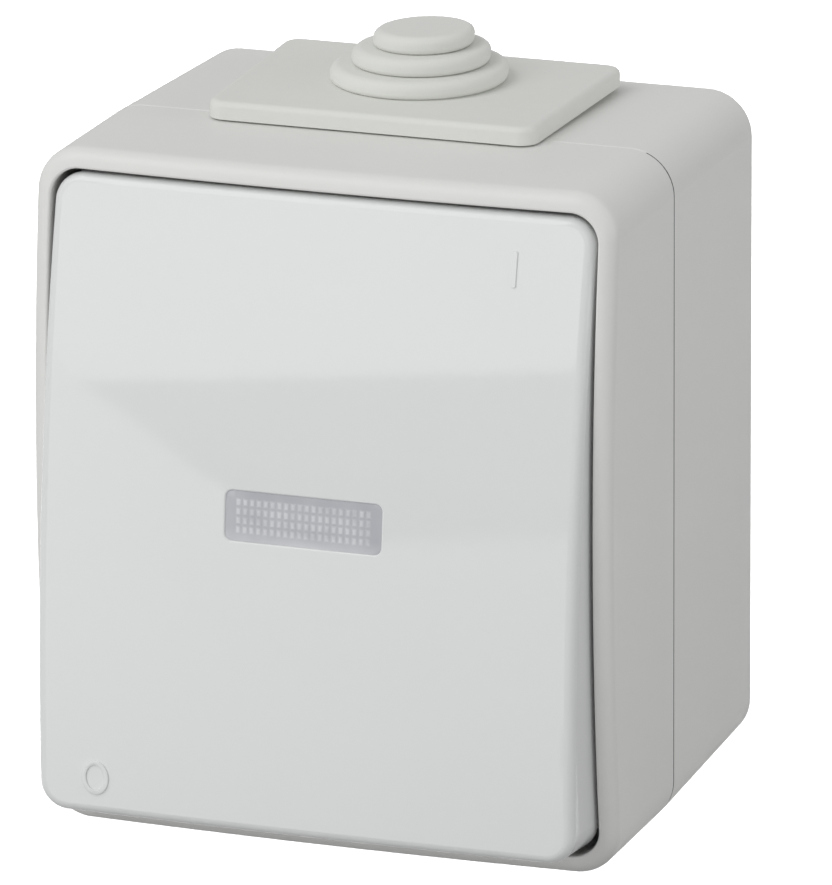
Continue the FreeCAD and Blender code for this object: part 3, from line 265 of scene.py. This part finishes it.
ROLLED = {
    "brass": ((0.80, 0.58, 0.26), 0.22, 0.30, (1, 1, 14)),
    "bronze": ((0.82, 0.50, 0.30), 0.20, 0.28, (1, 1, 14)),
    "silver": ((0.86, 0.85, 0.82), 0.15, 0.22, (4, 1, 4)),
    "screw_steel": ((0.66, 0.66, 0.64), 0.18, 0.32, (6, 1, 6)),
    "spring_steel": ((0.56, 0.56, 0.57), 0.15, 0.26, (1, 8, 1)),
    "lead_tin": ((0.74, 0.74, 0.72), 0.12, 0.34, (1, 8, 1)),
}
for name, recipe in ROLLED.items():
    rolled(name, *recipe)
print("metals:", len(ROLLED))

# %% [markdown]
# ## Milky window and lamp glass
# The window is a milky moulding with a faint lilac cast. Its cells are painted paler than the walls between
# them, a painted highlight, no two quite alike. A painted glow pales the middle of the lower edge, where
# light that enters at the top would leave. The cells are marked by an attribute of the mesh, so the painted
# highlight stays on them. The lamp is a clear glass tube.

# %% Window and lamp
# Painted glow at the lower edge: where it rises in height, and how far it reaches from the middle, in mm.
PAINTED_GLOW_RISE = (-0.4, -2.4)
PAINTED_GLOW_WIDTH = (8.5, 1.0)

milky = Finish("window_clear", Transmission_Weight=0.08, IOR=1.5)
# The cell attribute is the mask of a painted highlight: the crowns of the cells are painted paler.
cell = milky.node("ShaderNodeAttribute", {"attribute_name": "cell"}, output="Fac")
painted_edge_glow = milky.ramp(milky.axis("Z"), *PAINTED_GLOW_RISE)
off_centre = milky.node("ShaderNodeMath", {"operation": "ABSOLUTE"}, {0: milky.axis("X")})
middle = milky.ramp(off_centre, *PAINTED_GLOW_WIDTH)
cloud = milky.noise(3.2, 1.0)
speck = milky.noise(1.1, 1.0)
# Paler colour: painted highlight on the cells, painted glow at the lower edge, and a random cloudy tone.
pale = cell * (speck * 1.3 + cloud + 0.72) + painted_edge_glow * (middle * 0.55 + 0.45) + cloud * 0.6 + 0.1
milky.set("Base Color", milky.between(pale, (0.545, 0.553, 0.592), (0.775, 0.783, 0.810)))
milky.set("Roughness", cloud * 0.08 + 0.16)

lamp = Finish("lamp_glass", Transmission_Weight=0.92, IOR=1.47)
soot = lamp.noise(1.6, 2.0)
lamp.set("Base Color", lamp.between(soot + 0.5, (0.90, 0.86, 0.80), (0.96, 0.93, 0.90)))
lamp.set("Roughness", soot * 0.04 + 0.04)
print("all finishes:", len(bpy.data.materials))

# %% [markdown]
# ## Floor and light
# Small white goods are lit in a light tent: an even glow from all round, a large soft lamp from the front
# left and above, and a pale floor far enough below that no hard shadow shows. A second lamp stands low in
# front, where the glossy rocker mirrors it, a third stands at the right, and a fourth with a narrow beam
# whitens the floor behind. The Standard view keeps the greys where the material puts them.

# %% Set the stage
FLOOR_DROP = 0.3
FLOOR_SIZE = 14
GLOW = 0.50

scene = bpy.context.scene
scene.view_settings.view_transform = "Standard"
scene.world = bpy.data.worlds.new("tent")
scene.world.use_nodes = True
scene.world.node_tree.nodes["Background"].inputs["Color"].default_value = (1.0, 1.0, 1.0, 1.0)
scene.world.node_tree.nodes["Background"].inputs["Strength"].default_value = GLOW


def soft_light(name, place, target, width, height, power, beam=180, roll=0):
    """A flat lamp that faces a target, with a beam and a roll of so many degrees."""
    place = Vector(place)
    facing = (place - Vector(target)).to_track_quat("Z", "Y") @ Quaternion((0, 0, 1), math.radians(roll))
    bpy.ops.object.light_add(type="AREA", location=place, rotation=facing.to_euler())
    light = bpy.context.object
    light.name = name
    light.data.shape = "RECTANGLE"
    light.data.size = width
    light.data.size_y = height
    light.data.energy = power
    light.data.spread = math.radians(beam)


soft_light("key_light", (-0.53, -0.78, 0.92), AIM, 0.9, 0.9, 5.5)
soft_light("front_light", (-0.504, -1.313, 0.259), AIM, 0.70, 0.40, 1.46, roll=14)
soft_light("side_light", (1.05, 0.0, 0.2), AIM, 0.6, 0.6, 1.5)
soft_light("backdrop_light", (-0.35, 1.6, 1.6), (-0.35, 1.1, -FLOOR_DROP), 0.6, 0.6, 7.0, 50)
bpy.ops.mesh.primitive_plane_add(size=FLOOR_SIZE, location=(0, 0, -FLOOR_DROP))
floor = bpy.context.object
floor.name = "floor"
floor.data.materials.append(moulded("pale_paper", (0.75, 0.75, 0.75), 0.01, 0.8, 0.1, 2.0, 0.05))
floor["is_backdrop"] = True

# %% [markdown]
# ## Finish of the carried-over pieces
# The box, the cover and the mechanism have their true shape already, so each keeps its mesh and only gets
# the finish that its record names.

# %% Dress the frame
finishes = {material.name: material for material in bpy.data.materials}
for part in frame["record"]["subparts"]:
    mesh = nodes[part["node"]].data
    mesh.materials.clear()
    mesh.materials.append(finishes[part["material_slot"]])

# %% [markdown]
# ## Hands for edit mode
# By hand you click an edge or drag a box over some faces. In a script the same choice is a test on where
# the corners lie. These helpers clear the selection, enter edit mode and select what passes a test, so
# that the next operator acts on just that. All places are in millimetres.

# %% Helpers for modelling
NEAR = 0.01
SMOOTH = math.radians(40)


def alone(piece):
    """Makes a piece the only selected object."""
    bpy.ops.object.select_all(action="DESELECT")
    piece.select_set(True)
    bpy.context.view_layer.objects.active = piece


def block(name, low, high):
    """A box between two corners, in edit mode."""
    low, high = Vector(low) * MM, Vector(high) * MM
    bpy.ops.object.select_all(action="DESELECT")
    bpy.ops.mesh.primitive_cube_add(size=1, location=(low + high) / 2)
    piece = bpy.context.object
    piece.name = name
    piece.scale = high - low
    return opened(piece)


def opened(piece):
    """Puts a piece's place into its mesh and enters edit mode."""
    alone(piece)
    bpy.ops.object.transform_apply(location=True, rotation=True, scale=True)
    bpy.ops.object.mode_set(mode="EDIT")
    return piece


def choose(piece, kind, test):
    """Selects the vertices, edges or faces whose list of corners passes a test."""
    bpy.ops.mesh.select_mode(type=kind)
    bpy.ops.mesh.select_all(action="DESELECT")
    shape = bmesh.from_edit_mesh(piece.data)
    for item in {"VERT": shape.verts, "EDGE": shape.edges, "FACE": shape.faces}[kind]:
        corners = [item.co / MM] if kind == "VERT" else [corner.co / MM for corner in item.verts]
        item.select_set(test(corners))
    shape.select_flush_mode()
    bmesh.update_edit_mesh(piece.data)


def along(axis):
    """Tests an edge: it runs along one axis."""
    return lambda corners: all(abs(corners[0][a] - corners[1][a]) < NEAR for a in range(3) if a != axis)


def level_at(axis, place):
    """Tests corners: they all lie at one place on an axis."""
    return lambda corners: all(abs(corner[axis] - place) < NEAR for corner in corners)


def turn(axis, degrees, centre):
    """Turns the selection by the right-hand rule. With no window the operator turns the other way."""
    bpy.ops.transform.rotate(value=-math.radians(degrees), orient_axis=axis,
                             center_override=Vector(centre) * MM)


def rounded(width, segments):
    """Bevels the selected edges."""
    bpy.ops.mesh.bevel(offset=width * MM, segments=segments, affect="EDGES")


def shaped(piece, move):
    """Moves every vertex of a piece in edit mode by a rule, then leaves edit mode."""
    shape = bmesh.from_edit_mesh(piece.data)
    for corner in shape.verts:
        corner.co = move(corner.co / MM) * MM
    bmesh.update_edit_mesh(piece.data)
    bpy.ops.object.mode_set(mode="OBJECT")
    return piece


def combined(piece, other, operation):
    """Adds another piece to a piece, or cuts it away. The other one is used up."""
    bpy.ops.object.mode_set(mode="OBJECT")
    alone(piece)
    change = piece.modifiers.new("change", "BOOLEAN")
    change.operation = operation
    change.object = other
    bpy.ops.object.modifier_apply(modifier=change.name)
    bpy.data.objects.remove(other)
    return piece


def dressed(piece, body, slot, *stands_for):
    """Smooths a piece, gives it a finish, and lets it ride on a body."""
    alone(piece)
    bpy.ops.object.shade_smooth_by_angle(angle=SMOOTH)
    even = piece.modifiers.new("even", "WEIGHTED_NORMAL")
    even.keep_sharp = True
    bpy.ops.object.modifier_apply(modifier=even.name)
    piece.data.materials.clear()
    piece.data.materials.append(finishes[slot])
    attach(piece, body)
    if stands_for:
        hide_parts(*stands_for)
    print(piece.name, "faces:", len(piece.data.polygons))


print("helpers are ready")

# %% [markdown]
# ## Card for the mirror image
# A glossy front shows its gloss by what it mirrors. Photographers put a white card low in front: the rocker
# mirrors it in its lower half, and the darker wedge between card and lamp gives away the curve. The card is
# a grid of two faces whose top corners are moved. It only takes part in mirror images, so it neither lights
# the switch nor stands in a picture.

# %% Card
CARD_PLACE, CARD_FOOT = -600, -290
CARD_TOPS = ((-500, 196), (-200, -64), (-20, -30))
CARD_FADE = (-330, -90)
GRID_HALF = 500

white = Finish("white_card", Base_Color=(0, 0, 0, 1), Specular_IOR_Level=0, Emission_Strength=1.85)
fade = white.ramp(white.axis("X"), *CARD_FADE)
white.set("Emission Color", white.between(fade, (0.97, 0.97, 0.97), (0.60, 0.60, 0.60)))

bpy.ops.object.select_all(action="DESELECT")
bpy.ops.mesh.primitive_grid_add(x_subdivisions=2, y_subdivisions=1, size=2 * GRID_HALF * MM,
                                rotation=(math.pi / 2, 0, 0))
card = opened(bpy.context.object)
card.name = "card"


def card_corner(place):
    """The corner of the card that belongs to a vertex of the grid."""
    x, top = CARD_TOPS[round(place.x / GRID_HALF) + 1]
    return Vector((x, CARD_PLACE, top if place.z > 0 else CARD_FOOT))


shaped(card, card_corner)
card.data.materials.append(white.material)
card.visible_diffuse = False
card.visible_camera = False
card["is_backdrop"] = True
print("card corners:", len(card.data.vertices))

# %% [markdown]
# ## Flag below
# Light that the floor throws up makes a white product look flat. Photographers lay a dark cloth, a flag,
# under it, so that its sides darken downwards and its lower edge stays crisp. This one only takes bounced
# light away: it casts no shadow, and neither the camera nor the glossy rocker sees it.

# %% Flag
FLAG_LOW, FLAG_HIGH = (-60, -72, -70), (300, 150, -65)
FLAG_CORNER = 20

flag = block("flag", FLAG_LOW, FLAG_HIGH)
choose(flag, "EDGE", along(2))
rounded(FLAG_CORNER, 4)
bpy.ops.object.mode_set(mode="OBJECT")
flag.data.materials.append(moulded("black_cloth", (0.02, 0.02, 0.02), 0.2, 0.9, 0.05, 0.5, 0.02))
flag.visible_camera = False
flag.visible_glossy = False
flag.visible_shadow = False
flag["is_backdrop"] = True
print("flag in mm:", [round(s / MM) for s in flag.dimensions])

# %% [markdown]
# ## Cable grommet: the plate
# The grommet is one soft rubber moulding. Its plate lies over the box like a lid, level and with a soft
# edge, and clears the cover by a hair, which shows as a dark line. A box with bevelled edges gives that,
# because a bevel is what the mould's rounded cutter leaves. Rubber is never as true as a machined part: this
# plate was pushed into its notch, and both of its sides spread a little, so its corners are moved by a rule.

# %% Plate
PLATE_HALF, PLATE_UNDERSIDE, PLATE_TOP = 19.3, 38.2, 40.2
PLATE_FRONT, PLATE_BACK = -32.2, -3.4
PLATE_CORNER, PLATE_EDGE = 2.0, 0.7
LEFT_OUT, RIGHT_IN, RIGHT_EASE = 1.2, 1.1, 0.7

grommet = block("grommet", (-PLATE_HALF, PLATE_FRONT, PLATE_UNDERSIDE), (PLATE_HALF, PLATE_BACK, PLATE_TOP))
choose(grommet, "EDGE", along(2))
rounded(PLATE_CORNER, 8)
choose(grommet, "EDGE", level_at(2, PLATE_TOP))
rounded(PLATE_EDGE, 6)


def spread(place):
    """Moves the left side out towards the back, and the right side in towards the front."""
    depth = (place.y - PLATE_FRONT) / (PLATE_BACK - PLATE_FRONT)
    return place - Vector((LEFT_OUT * depth if place.x < 0 else RIGHT_IN - RIGHT_EASE * depth, 0, 0))


shaped(grommet, spread)
print("plate faces:", len(grommet.data.polygons))

# %% [markdown]
# ## Cable grommet: the steps
# Three round steps stand on the plate, one for each thickness of cable: the fitter cuts off the ones that
# are too small. A filled circle is extruded upwards again and again and scaled at each level, so that the
# rim of every step swells out of a dark crease and rounds over at its top.

# %% Steps
STEP_AXIS = -16.1
STEP_WIDTHS = (19.5, 15.2, 11.1)
STEP_HEIGHT = 1.98
CREASE, EDGE = 0.65, 0.95
WALL, HOLLOW_FOOT = 1.2, 33.0
ROUND, SIDES = 6, 96


def stepped(name, levels):
    """A round body on the grommet's axis through a list of radii and heights."""
    (radius, height), *rest = levels
    bpy.ops.object.select_all(action="DESELECT")
    bpy.ops.mesh.primitive_circle_add(vertices=SIDES, radius=radius * MM, fill_type="NGON",
                                      location=Vector((0, STEP_AXIS, height)) * MM)
    piece = opened(bpy.context.object)
    piece.name = name
    for next_radius, next_height in rest:
        rise = (next_height - height) * MM
        bpy.ops.mesh.extrude_region_move(TRANSFORM_OT_translate={"value": (0, 0, rise)})
        share = next_radius / radius
        bpy.ops.transform.resize(value=(share, share, 1),
                                 center_override=Vector((0, STEP_AXIS, next_height)) * MM)
        radius, height = next_radius, next_height
    bpy.ops.mesh.select_all(action="SELECT")
    bpy.ops.mesh.normals_make_consistent(inside=False)
    bpy.ops.object.mode_set(mode="OBJECT")
    return piece


outside = [(STEP_WIDTHS[0] / 2 - CREASE, PLATE_TOP - 1)]
hollow = []
foot = PLATE_TOP
angles = [math.pi / 2 * index / ROUND for index in range(ROUND + 1)]
for width in STEP_WIDTHS:
    head = foot + STEP_HEIGHT
    outside += [(width / 2 - CREASE + CREASE * math.sin(a), foot + CREASE - CREASE * math.cos(a))
                for a in angles]
    outside += [(width / 2 - EDGE + EDGE * math.cos(a), head - EDGE + EDGE * math.sin(a))
                for a in angles]
    inner = width / 2 - WALL
    hollow += [(inner, hollow[-1][1] if hollow else HOLLOW_FOOT), (inner, head - WALL)]
    foot = head
combined(grommet, stepped("steps", outside), "UNION")
print("grommet faces with its steps:", len(grommet.data.polygons))

# %% [markdown]
# ## Cable grommet: the neck
# Below the plate a seat lies on the wall, a neck fills the notch in it, and a flange behind the wall keeps
# all of it there. They lean with the wall, which leans by about one degree. The whole is hollow under the
# steps, so that a cut step opens into the box.

# %% Neck and hollow
JOINT = Vector((0, -28.4, 38.0))
WALL_LEAN = -1.21
NECK = {
    "seat": ((-17.3, -28.4, 38.0), (17.3, -5.4, 39.2)),
    "collar": ((-14.4, -28.3, 36.9), (14.4, -6.5, 39.2)),
    "neck": ((-14.4, -25.3, 34.2), (14.4, -6.5, 39.2)),
    "inner_flange": ((-16.2, -25.3, 34.2), (16.2, -4.7, 35.7)),
}

for low, high in NECK.values():
    part = block("neck", low, high)
    bpy.ops.mesh.select_all(action="SELECT")
    turn("X", WALL_LEAN, JOINT)
    combined(grommet, part, "UNION")
combined(grommet, stepped("hollow", hollow), "DIFFERENCE")

# %% [markdown]
# ## Cable grommet: softness
# The steps are soft too: each one leans and rolls a little more than the one below. A rule that moves each
# vertex by a small share is quicker than sculpting, and it gives the same result every time.

# %% Softness
LEAN = ((40.2, -0.60, 0.2), (43.2, -0.20, 0.6), (46.1, 0.25, 1.6))


def lean(height):
    """How far the steps have moved to the right, in millimetres, and how far they roll, in degrees."""
    first, second, third = LEAN
    low, high = (first, second) if height < second[0] else (second, third)
    share = (height - low[0]) / (high[0] - low[0])
    return [a + (b - a) * share for a, b in zip(low[1:], high[1:])]


def soften(place):
    if place.z > PLATE_TOP + NEAR:
        shift, roll = lean(place.z)
        return place + Vector((shift, 0, math.tan(math.radians(roll)) * place.x))
    return place


alone(grommet)
bpy.ops.object.mode_set(mode="EDIT")
dressed(shaped(grommet, soften), "housing", "grommet_grey", "cable_grommet")

# %% [markdown]
# ## Window lens
# The lens glows when the lamp behind it is lit. Small raised cells in four rows spread that light, and in
# daylight they read as a fine grid. The pane is a box with rounded corners, cut into a grid by bisecting.
# The cells are then inset one by one and raised, which is quicker and truer than modelling eighty of them.

# %% Lens
CROWN, ACROSS, UPRIGHT = 54.65, 580.0, 256.0
PIVOT = Vector((0, -46.5, 0))
TILT = -6.4
FIELD = (7.8, 2.0)
CELLS = (20, 4)
LENS_HALF, FLANGE_HALF = (8.91, 2.76), (10.3, 4.15)
LENS_FRONT, FLANGE_FRONT, LENS_BACK = -54.5, -52.35, -51.15
LENS_CORNER, LENS_EDGE, FLANGE_CORNER = 0.8, 0.05, 2.2


def fall(x, z):
    """How far the rocker's front lies behind its middle."""
    side = ACROSS - math.sqrt(ACROSS ** 2 - x ** 2)
    return UPRIGHT - math.sqrt((UPRIGHT - side) ** 2 - z ** 2)


def pane(name, half, front):
    """A box that ends at the back of the lens, in edit mode, its edges from front to back selected."""
    piece = block(name, (-half[0], front, -half[1]), (half[0], LENS_BACK, half[1]))
    choose(piece, "EDGE", along(1))
    return piece


lens = pane("lens", LENS_HALF, LENS_FRONT)
rounded(LENS_CORNER, 6)
choose(lens, "EDGE", level_at(1, LENS_FRONT))
rounded(LENS_EDGE, 2)
for axis, half, count in ((0, FIELD[0], CELLS[0]), (2, FIELD[1], CELLS[1])):
    for index in range(count + 1):
        normal = Vector([float(a == axis) for a in range(3)])
        bpy.ops.mesh.select_all(action="SELECT")
        bpy.ops.mesh.bisect(plane_co=normal * half * (2 * index / count - 1) * MM, plane_no=normal)
bpy.ops.object.mode_set(mode="OBJECT")
flange = pane("flange", FLANGE_HALF, FLANGE_FRONT)
rounded(FLANGE_CORNER, 8)
combined(lens, flange, "UNION")
print("lens faces before its cells:", len(lens.data.polygons))

# %% [markdown]
# ## Cells of the lens
# The squares of the grid are selected, inset one by one and raised by a hair to small pillows. After each
# inset the inner faces are still selected, and they get a higher value of the attribute from which the milky
# finish paints a highlight on the cells. It fades towards the foot of each pillow, because it is kept per vertex.

# %% Cells
PILLOW = ((0.05, 0.0, 0.0), (0.08, 0.02, 0.12), (0.08, 0.015, 0.5), (0.08, 0.01, 1.0))
CROWNED = -52

opened(lens)
choose(lens, "FACE", lambda corners: level_at(1, LENS_FRONT)(corners)
       and all(abs(c.x) < FIELD[0] + NEAR and abs(c.z) < FIELD[1] + NEAR for c in corners))
# The cell attribute, set per vertex below, is the mask of the painted highlight in the milky finish.
bmesh.from_edit_mesh(lens.data).verts.layers.float.new("cell")
for thickness, depth, value in PILLOW:
    bpy.ops.mesh.inset(thickness=thickness * MM, depth=depth * MM, use_individual=True)
    shape = bmesh.from_edit_mesh(lens.data)
    for corner in [corner for corner in shape.verts if corner.select]:
        corner[shape.verts.layers.float["cell"]] = value
    bmesh.update_edit_mesh(lens.data)
bpy.ops.object.mode_set(mode="OBJECT")
print("cells:", sum(face.select for face in lens.data.polygons))


def on_rocker(piece):
    """Lets a piece follow the rocker's crown, and tilts it with the rocker."""
    alone(piece)
    bpy.ops.object.mode_set(mode="EDIT")
    shaped(piece, lambda place: place + Vector((0, fall(place.x, place.z) if place.y < CROWNED else 0, 0)))
    bpy.ops.object.mode_set(mode="EDIT")
    bpy.ops.mesh.select_all(action="SELECT")
    turn("X", TILT, PIVOT)
    bpy.ops.object.mode_set(mode="OBJECT")
    return piece


dressed(on_rocker(lens), "rocker", "window_clear", "window_lens")

# %% [markdown]
# ## On and off marks
# Two small raised marks tell which end to press: a bar for on at the top, a ring for off at the bottom. The
# bar is a box with rounded ends. The ring is a filled circle, inset, opened and extruded. Both stand only
# a fraction of a millimetre proud, as moulded marks do, and reach into the rocker's wall.

# %% Marks
PROUD, ROOT = 0.16, 0.40
BAR_SIDES, BAR_ENDS, BAR_CORNER = (21.92, 22.48), (27.15, 31.05), 0.2
RING_RADIUS, RING_SQUEEZE, RING_WIDTH = 1.95, 0.82, 0.55
RING_PLACE = Vector((-23.9, -CROWN + ROOT, -30.9))
MARK_EDGE = 0.08

bar = block("mark_on", (BAR_SIDES[0], -CROWN - PROUD, BAR_ENDS[0]), (BAR_SIDES[1], -CROWN + ROOT, BAR_ENDS[1]))
choose(bar, "EDGE", along(1))
rounded(BAR_CORNER, 4)
choose(bar, "EDGE", level_at(1, -CROWN - PROUD))
rounded(MARK_EDGE, 3)
bpy.ops.object.mode_set(mode="OBJECT")

bpy.ops.object.select_all(action="DESELECT")
bpy.ops.mesh.primitive_circle_add(vertices=48, radius=RING_RADIUS * MM, fill_type="NGON",
                                  rotation=(math.pi / 2, 0, 0), location=RING_PLACE * MM)
loop = bpy.context.object
loop.name = "mark_off"
loop.scale = (RING_SQUEEZE, 1, 1)
opened(loop)
bpy.ops.mesh.select_all(action="SELECT")
bpy.ops.mesh.inset(thickness=RING_WIDTH * MM)
bpy.ops.mesh.delete(type="FACE")
bpy.ops.mesh.select_all(action="SELECT")
bpy.ops.mesh.extrude_region_move(TRANSFORM_OT_translate={"value": (0, -(PROUD + ROOT) * MM, 0)})
bpy.ops.mesh.select_all(action="SELECT")
bpy.ops.mesh.normals_make_consistent(inside=False)
choose(loop, "EDGE", level_at(1, -CROWN - PROUD))
rounded(MARK_EDGE, 3)
bpy.ops.object.mode_set(mode="OBJECT")
for mark in (bar, loop):
    dressed(on_rocker(mark), "rocker", "rocker_white")

# %% [markdown]
# ## Edge of the seal, and painted shade in the gap
# The cover stands off the box by a hair at the sides and below, so that water can drain. A black strip
# in the gap is painted shade, a thin dark line that also stands for the edge of the seal. A plate with the
# outline of the box is inset to a ring, thickened over the gap, and cut off where the gap ends near the top.

# %% Seal edge and painted gap shade
GAP = (-28.60, -28.37)
GAP_TOP = 37.6
SEAL_HALF, SEAL_CORNER, SEAL_WIDTH = (32.99, 37.99), 5.0, 0.9

# A black strip in the gap: painted shade of the joint, and the edge of the black seal.
seal_edge_and_gap_shade = block("seal_edge_and_gap_shade", (-SEAL_HALF[0], GAP[0], -SEAL_HALF[1]), (SEAL_HALF[0], GAP[1], SEAL_HALF[1]))
choose(seal_edge_and_gap_shade, "EDGE", along(1))
rounded(SEAL_CORNER, 16)
choose(seal_edge_and_gap_shade, "FACE", lambda corners: not level_at(1, GAP[1])(corners))
bpy.ops.mesh.delete(type="FACE")
bpy.ops.mesh.select_all(action="SELECT")
bpy.ops.mesh.inset(thickness=SEAL_WIDTH * MM)
bpy.ops.mesh.delete(type="FACE")
bpy.ops.mesh.select_all(action="SELECT")
bpy.ops.mesh.extrude_region_move(TRANSFORM_OT_translate={"value": (0, (GAP[0] - GAP[1]) * MM, 0)})
bpy.ops.mesh.select_all(action="SELECT")
bpy.ops.mesh.normals_make_consistent(inside=False)
bpy.ops.mesh.bisect(plane_co=(0, 0, GAP_TOP * MM), plane_no=(0, 0, 1), clear_outer=True, use_fill=True)
bpy.ops.object.mode_set(mode="OBJECT")
dressed(seal_edge_and_gap_shade, "housing", "seal_black")

# %% [markdown]
# ## Rocker membrane
# Behind the rocker a soft sheet keeps rain out of the box. Its rim is held by the cover, while two sleeves
# on the sheet go with the legs of the rocker, so the sheet has to bend. The shape is in the frame already,
# so a copy is cut up instead: the rim stays still, and the two halves of the sheet bend between rim and
# rocker. Extra cuts across the sheet give it rows of vertices to bend along.

# %% Cut up the membrane
SHEET = (-37.4, -36.6)
OPENING = (16.6, 7.0)
SLEEVE_ROOM = (0.3, 1.0)
MERGED = 0.001


def inside(corners):
    """Tests faces: they belong to the sheet or its sleeves, not to the rim."""
    def within(room):
        return all(abs(c.x) < OPENING[0] - room[0] and abs(c.z) < OPENING[1] - room[1] for c in corners)

    flat = any(level_at(1, depth)(corners) for depth in SHEET)
    return within((-NEAR, -NEAR)) and (flat or within(SLEEVE_ROOM))


def merged_copy(node, name):
    """A loose copy of a carried-over piece, its double vertices merged, in edit mode."""
    piece = nodes[node].copy()
    piece.data = piece.data.copy()
    piece.parent = None
    piece.name = name
    scene.collection.objects.link(piece)
    opened(piece)
    bpy.ops.mesh.customdata_custom_splitnormals_clear()
    bpy.ops.mesh.select_all(action="SELECT")
    bpy.ops.mesh.remove_doubles(threshold=MERGED * MM)
    return piece


def membrane_copy(name, keep):
    """A copy of the membrane with only the faces that pass a test, its open edges bridged."""
    piece = merged_copy("rocker_membrane", name)
    choose(piece, "FACE", lambda corners: not keep(corners))
    bpy.ops.mesh.delete(type="FACE")
    bpy.ops.mesh.select_mode(type="EDGE")
    bpy.ops.mesh.select_all(action="DESELECT")
    bpy.ops.mesh.select_non_manifold()
    bpy.ops.mesh.bridge_edge_loops()
    bpy.ops.mesh.select_all(action="SELECT")
    bpy.ops.mesh.normals_make_consistent(inside=False)
    bpy.ops.object.mode_set(mode="OBJECT")
    return piece


rim = membrane_copy("membrane_rim", lambda corners: not inside(corners))
halves = [(membrane_copy("membrane_upper", inside), 1), (membrane_copy("membrane_lower", inside), -1)]
dressed(rim, "housing", "membrane_silicone", "rocker_membrane")

# %% [markdown]
# ## The sheet that bends
# A vertex near the rim follows the housing, one near the sleeves follows the rocker, and those between turn
# by a share. The bend runs up in one half and down in the other, which is why the sheet is halved.

# %% Halves of the sheet
BENDS = (4.2, 4.8, 5.4, 6.0, 6.6)

for half, side in halves:
    opened(half)
    bpy.ops.mesh.select_all(action="SELECT")
    bpy.ops.mesh.bisect(plane_co=(0, 0, 0), plane_no=(0, 0, side), clear_inner=True, use_fill=True)
    for height in BENDS:
        bpy.ops.mesh.select_all(action="SELECT")
        bpy.ops.mesh.bisect(plane_co=(0, 0, side * height * MM), plane_no=(0, 0, 1))
    bpy.ops.object.mode_set(mode="OBJECT")
    bpy.ops.object.shade_smooth_by_angle(angle=SMOOTH)
    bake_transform(half, "housing", "rocker", start=(0, -0.037, side * 7.0 * MM), end=(0, -0.037, side * 3.8 * MM))
    print(half.name, "faces:", len(half.data.polygons))

# %% [markdown]
# ## Plunger springs
# A spring stands in each bore of the toggle and presses a plunger out of it. When the plunger goes in, the
# coils close up. A merged copy of the spring does that with the same blend: its front end stays with the
# toggle, its back end goes with the plunger, and the coils between share the way.

# %% Springs
LEAN_BACK = math.radians(11.862)
slide = Vector((0, -math.cos(LEAN_BACK), -math.sin(LEAN_BACK)))

for side in ("left", "right"):
    spring = merged_copy("plunger_spring_" + side, "spring_" + side)
    bpy.ops.object.mode_set(mode="OBJECT")
    bpy.ops.object.shade_smooth_by_angle(angle=SMOOTH)
    places = [slide.dot(corner.co) for corner in spring.data.vertices]
    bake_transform(spring, "toggle", "plunger_" + side, start=slide * max(places), end=slide * min(places))
    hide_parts("plunger_spring_" + side)
    print(spring.name, "length in mm:", round((max(places) - min(places)) / MM, 2))

# %% [markdown]
# ## Size and finish
# The size of the dressed switch is printed, so that a piece that sticks out can be seen.

# %% Close the file
bpy.context.view_layer.update()
low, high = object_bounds()
print("size in mm:", [round(s / MM, 2) for s in high - low])
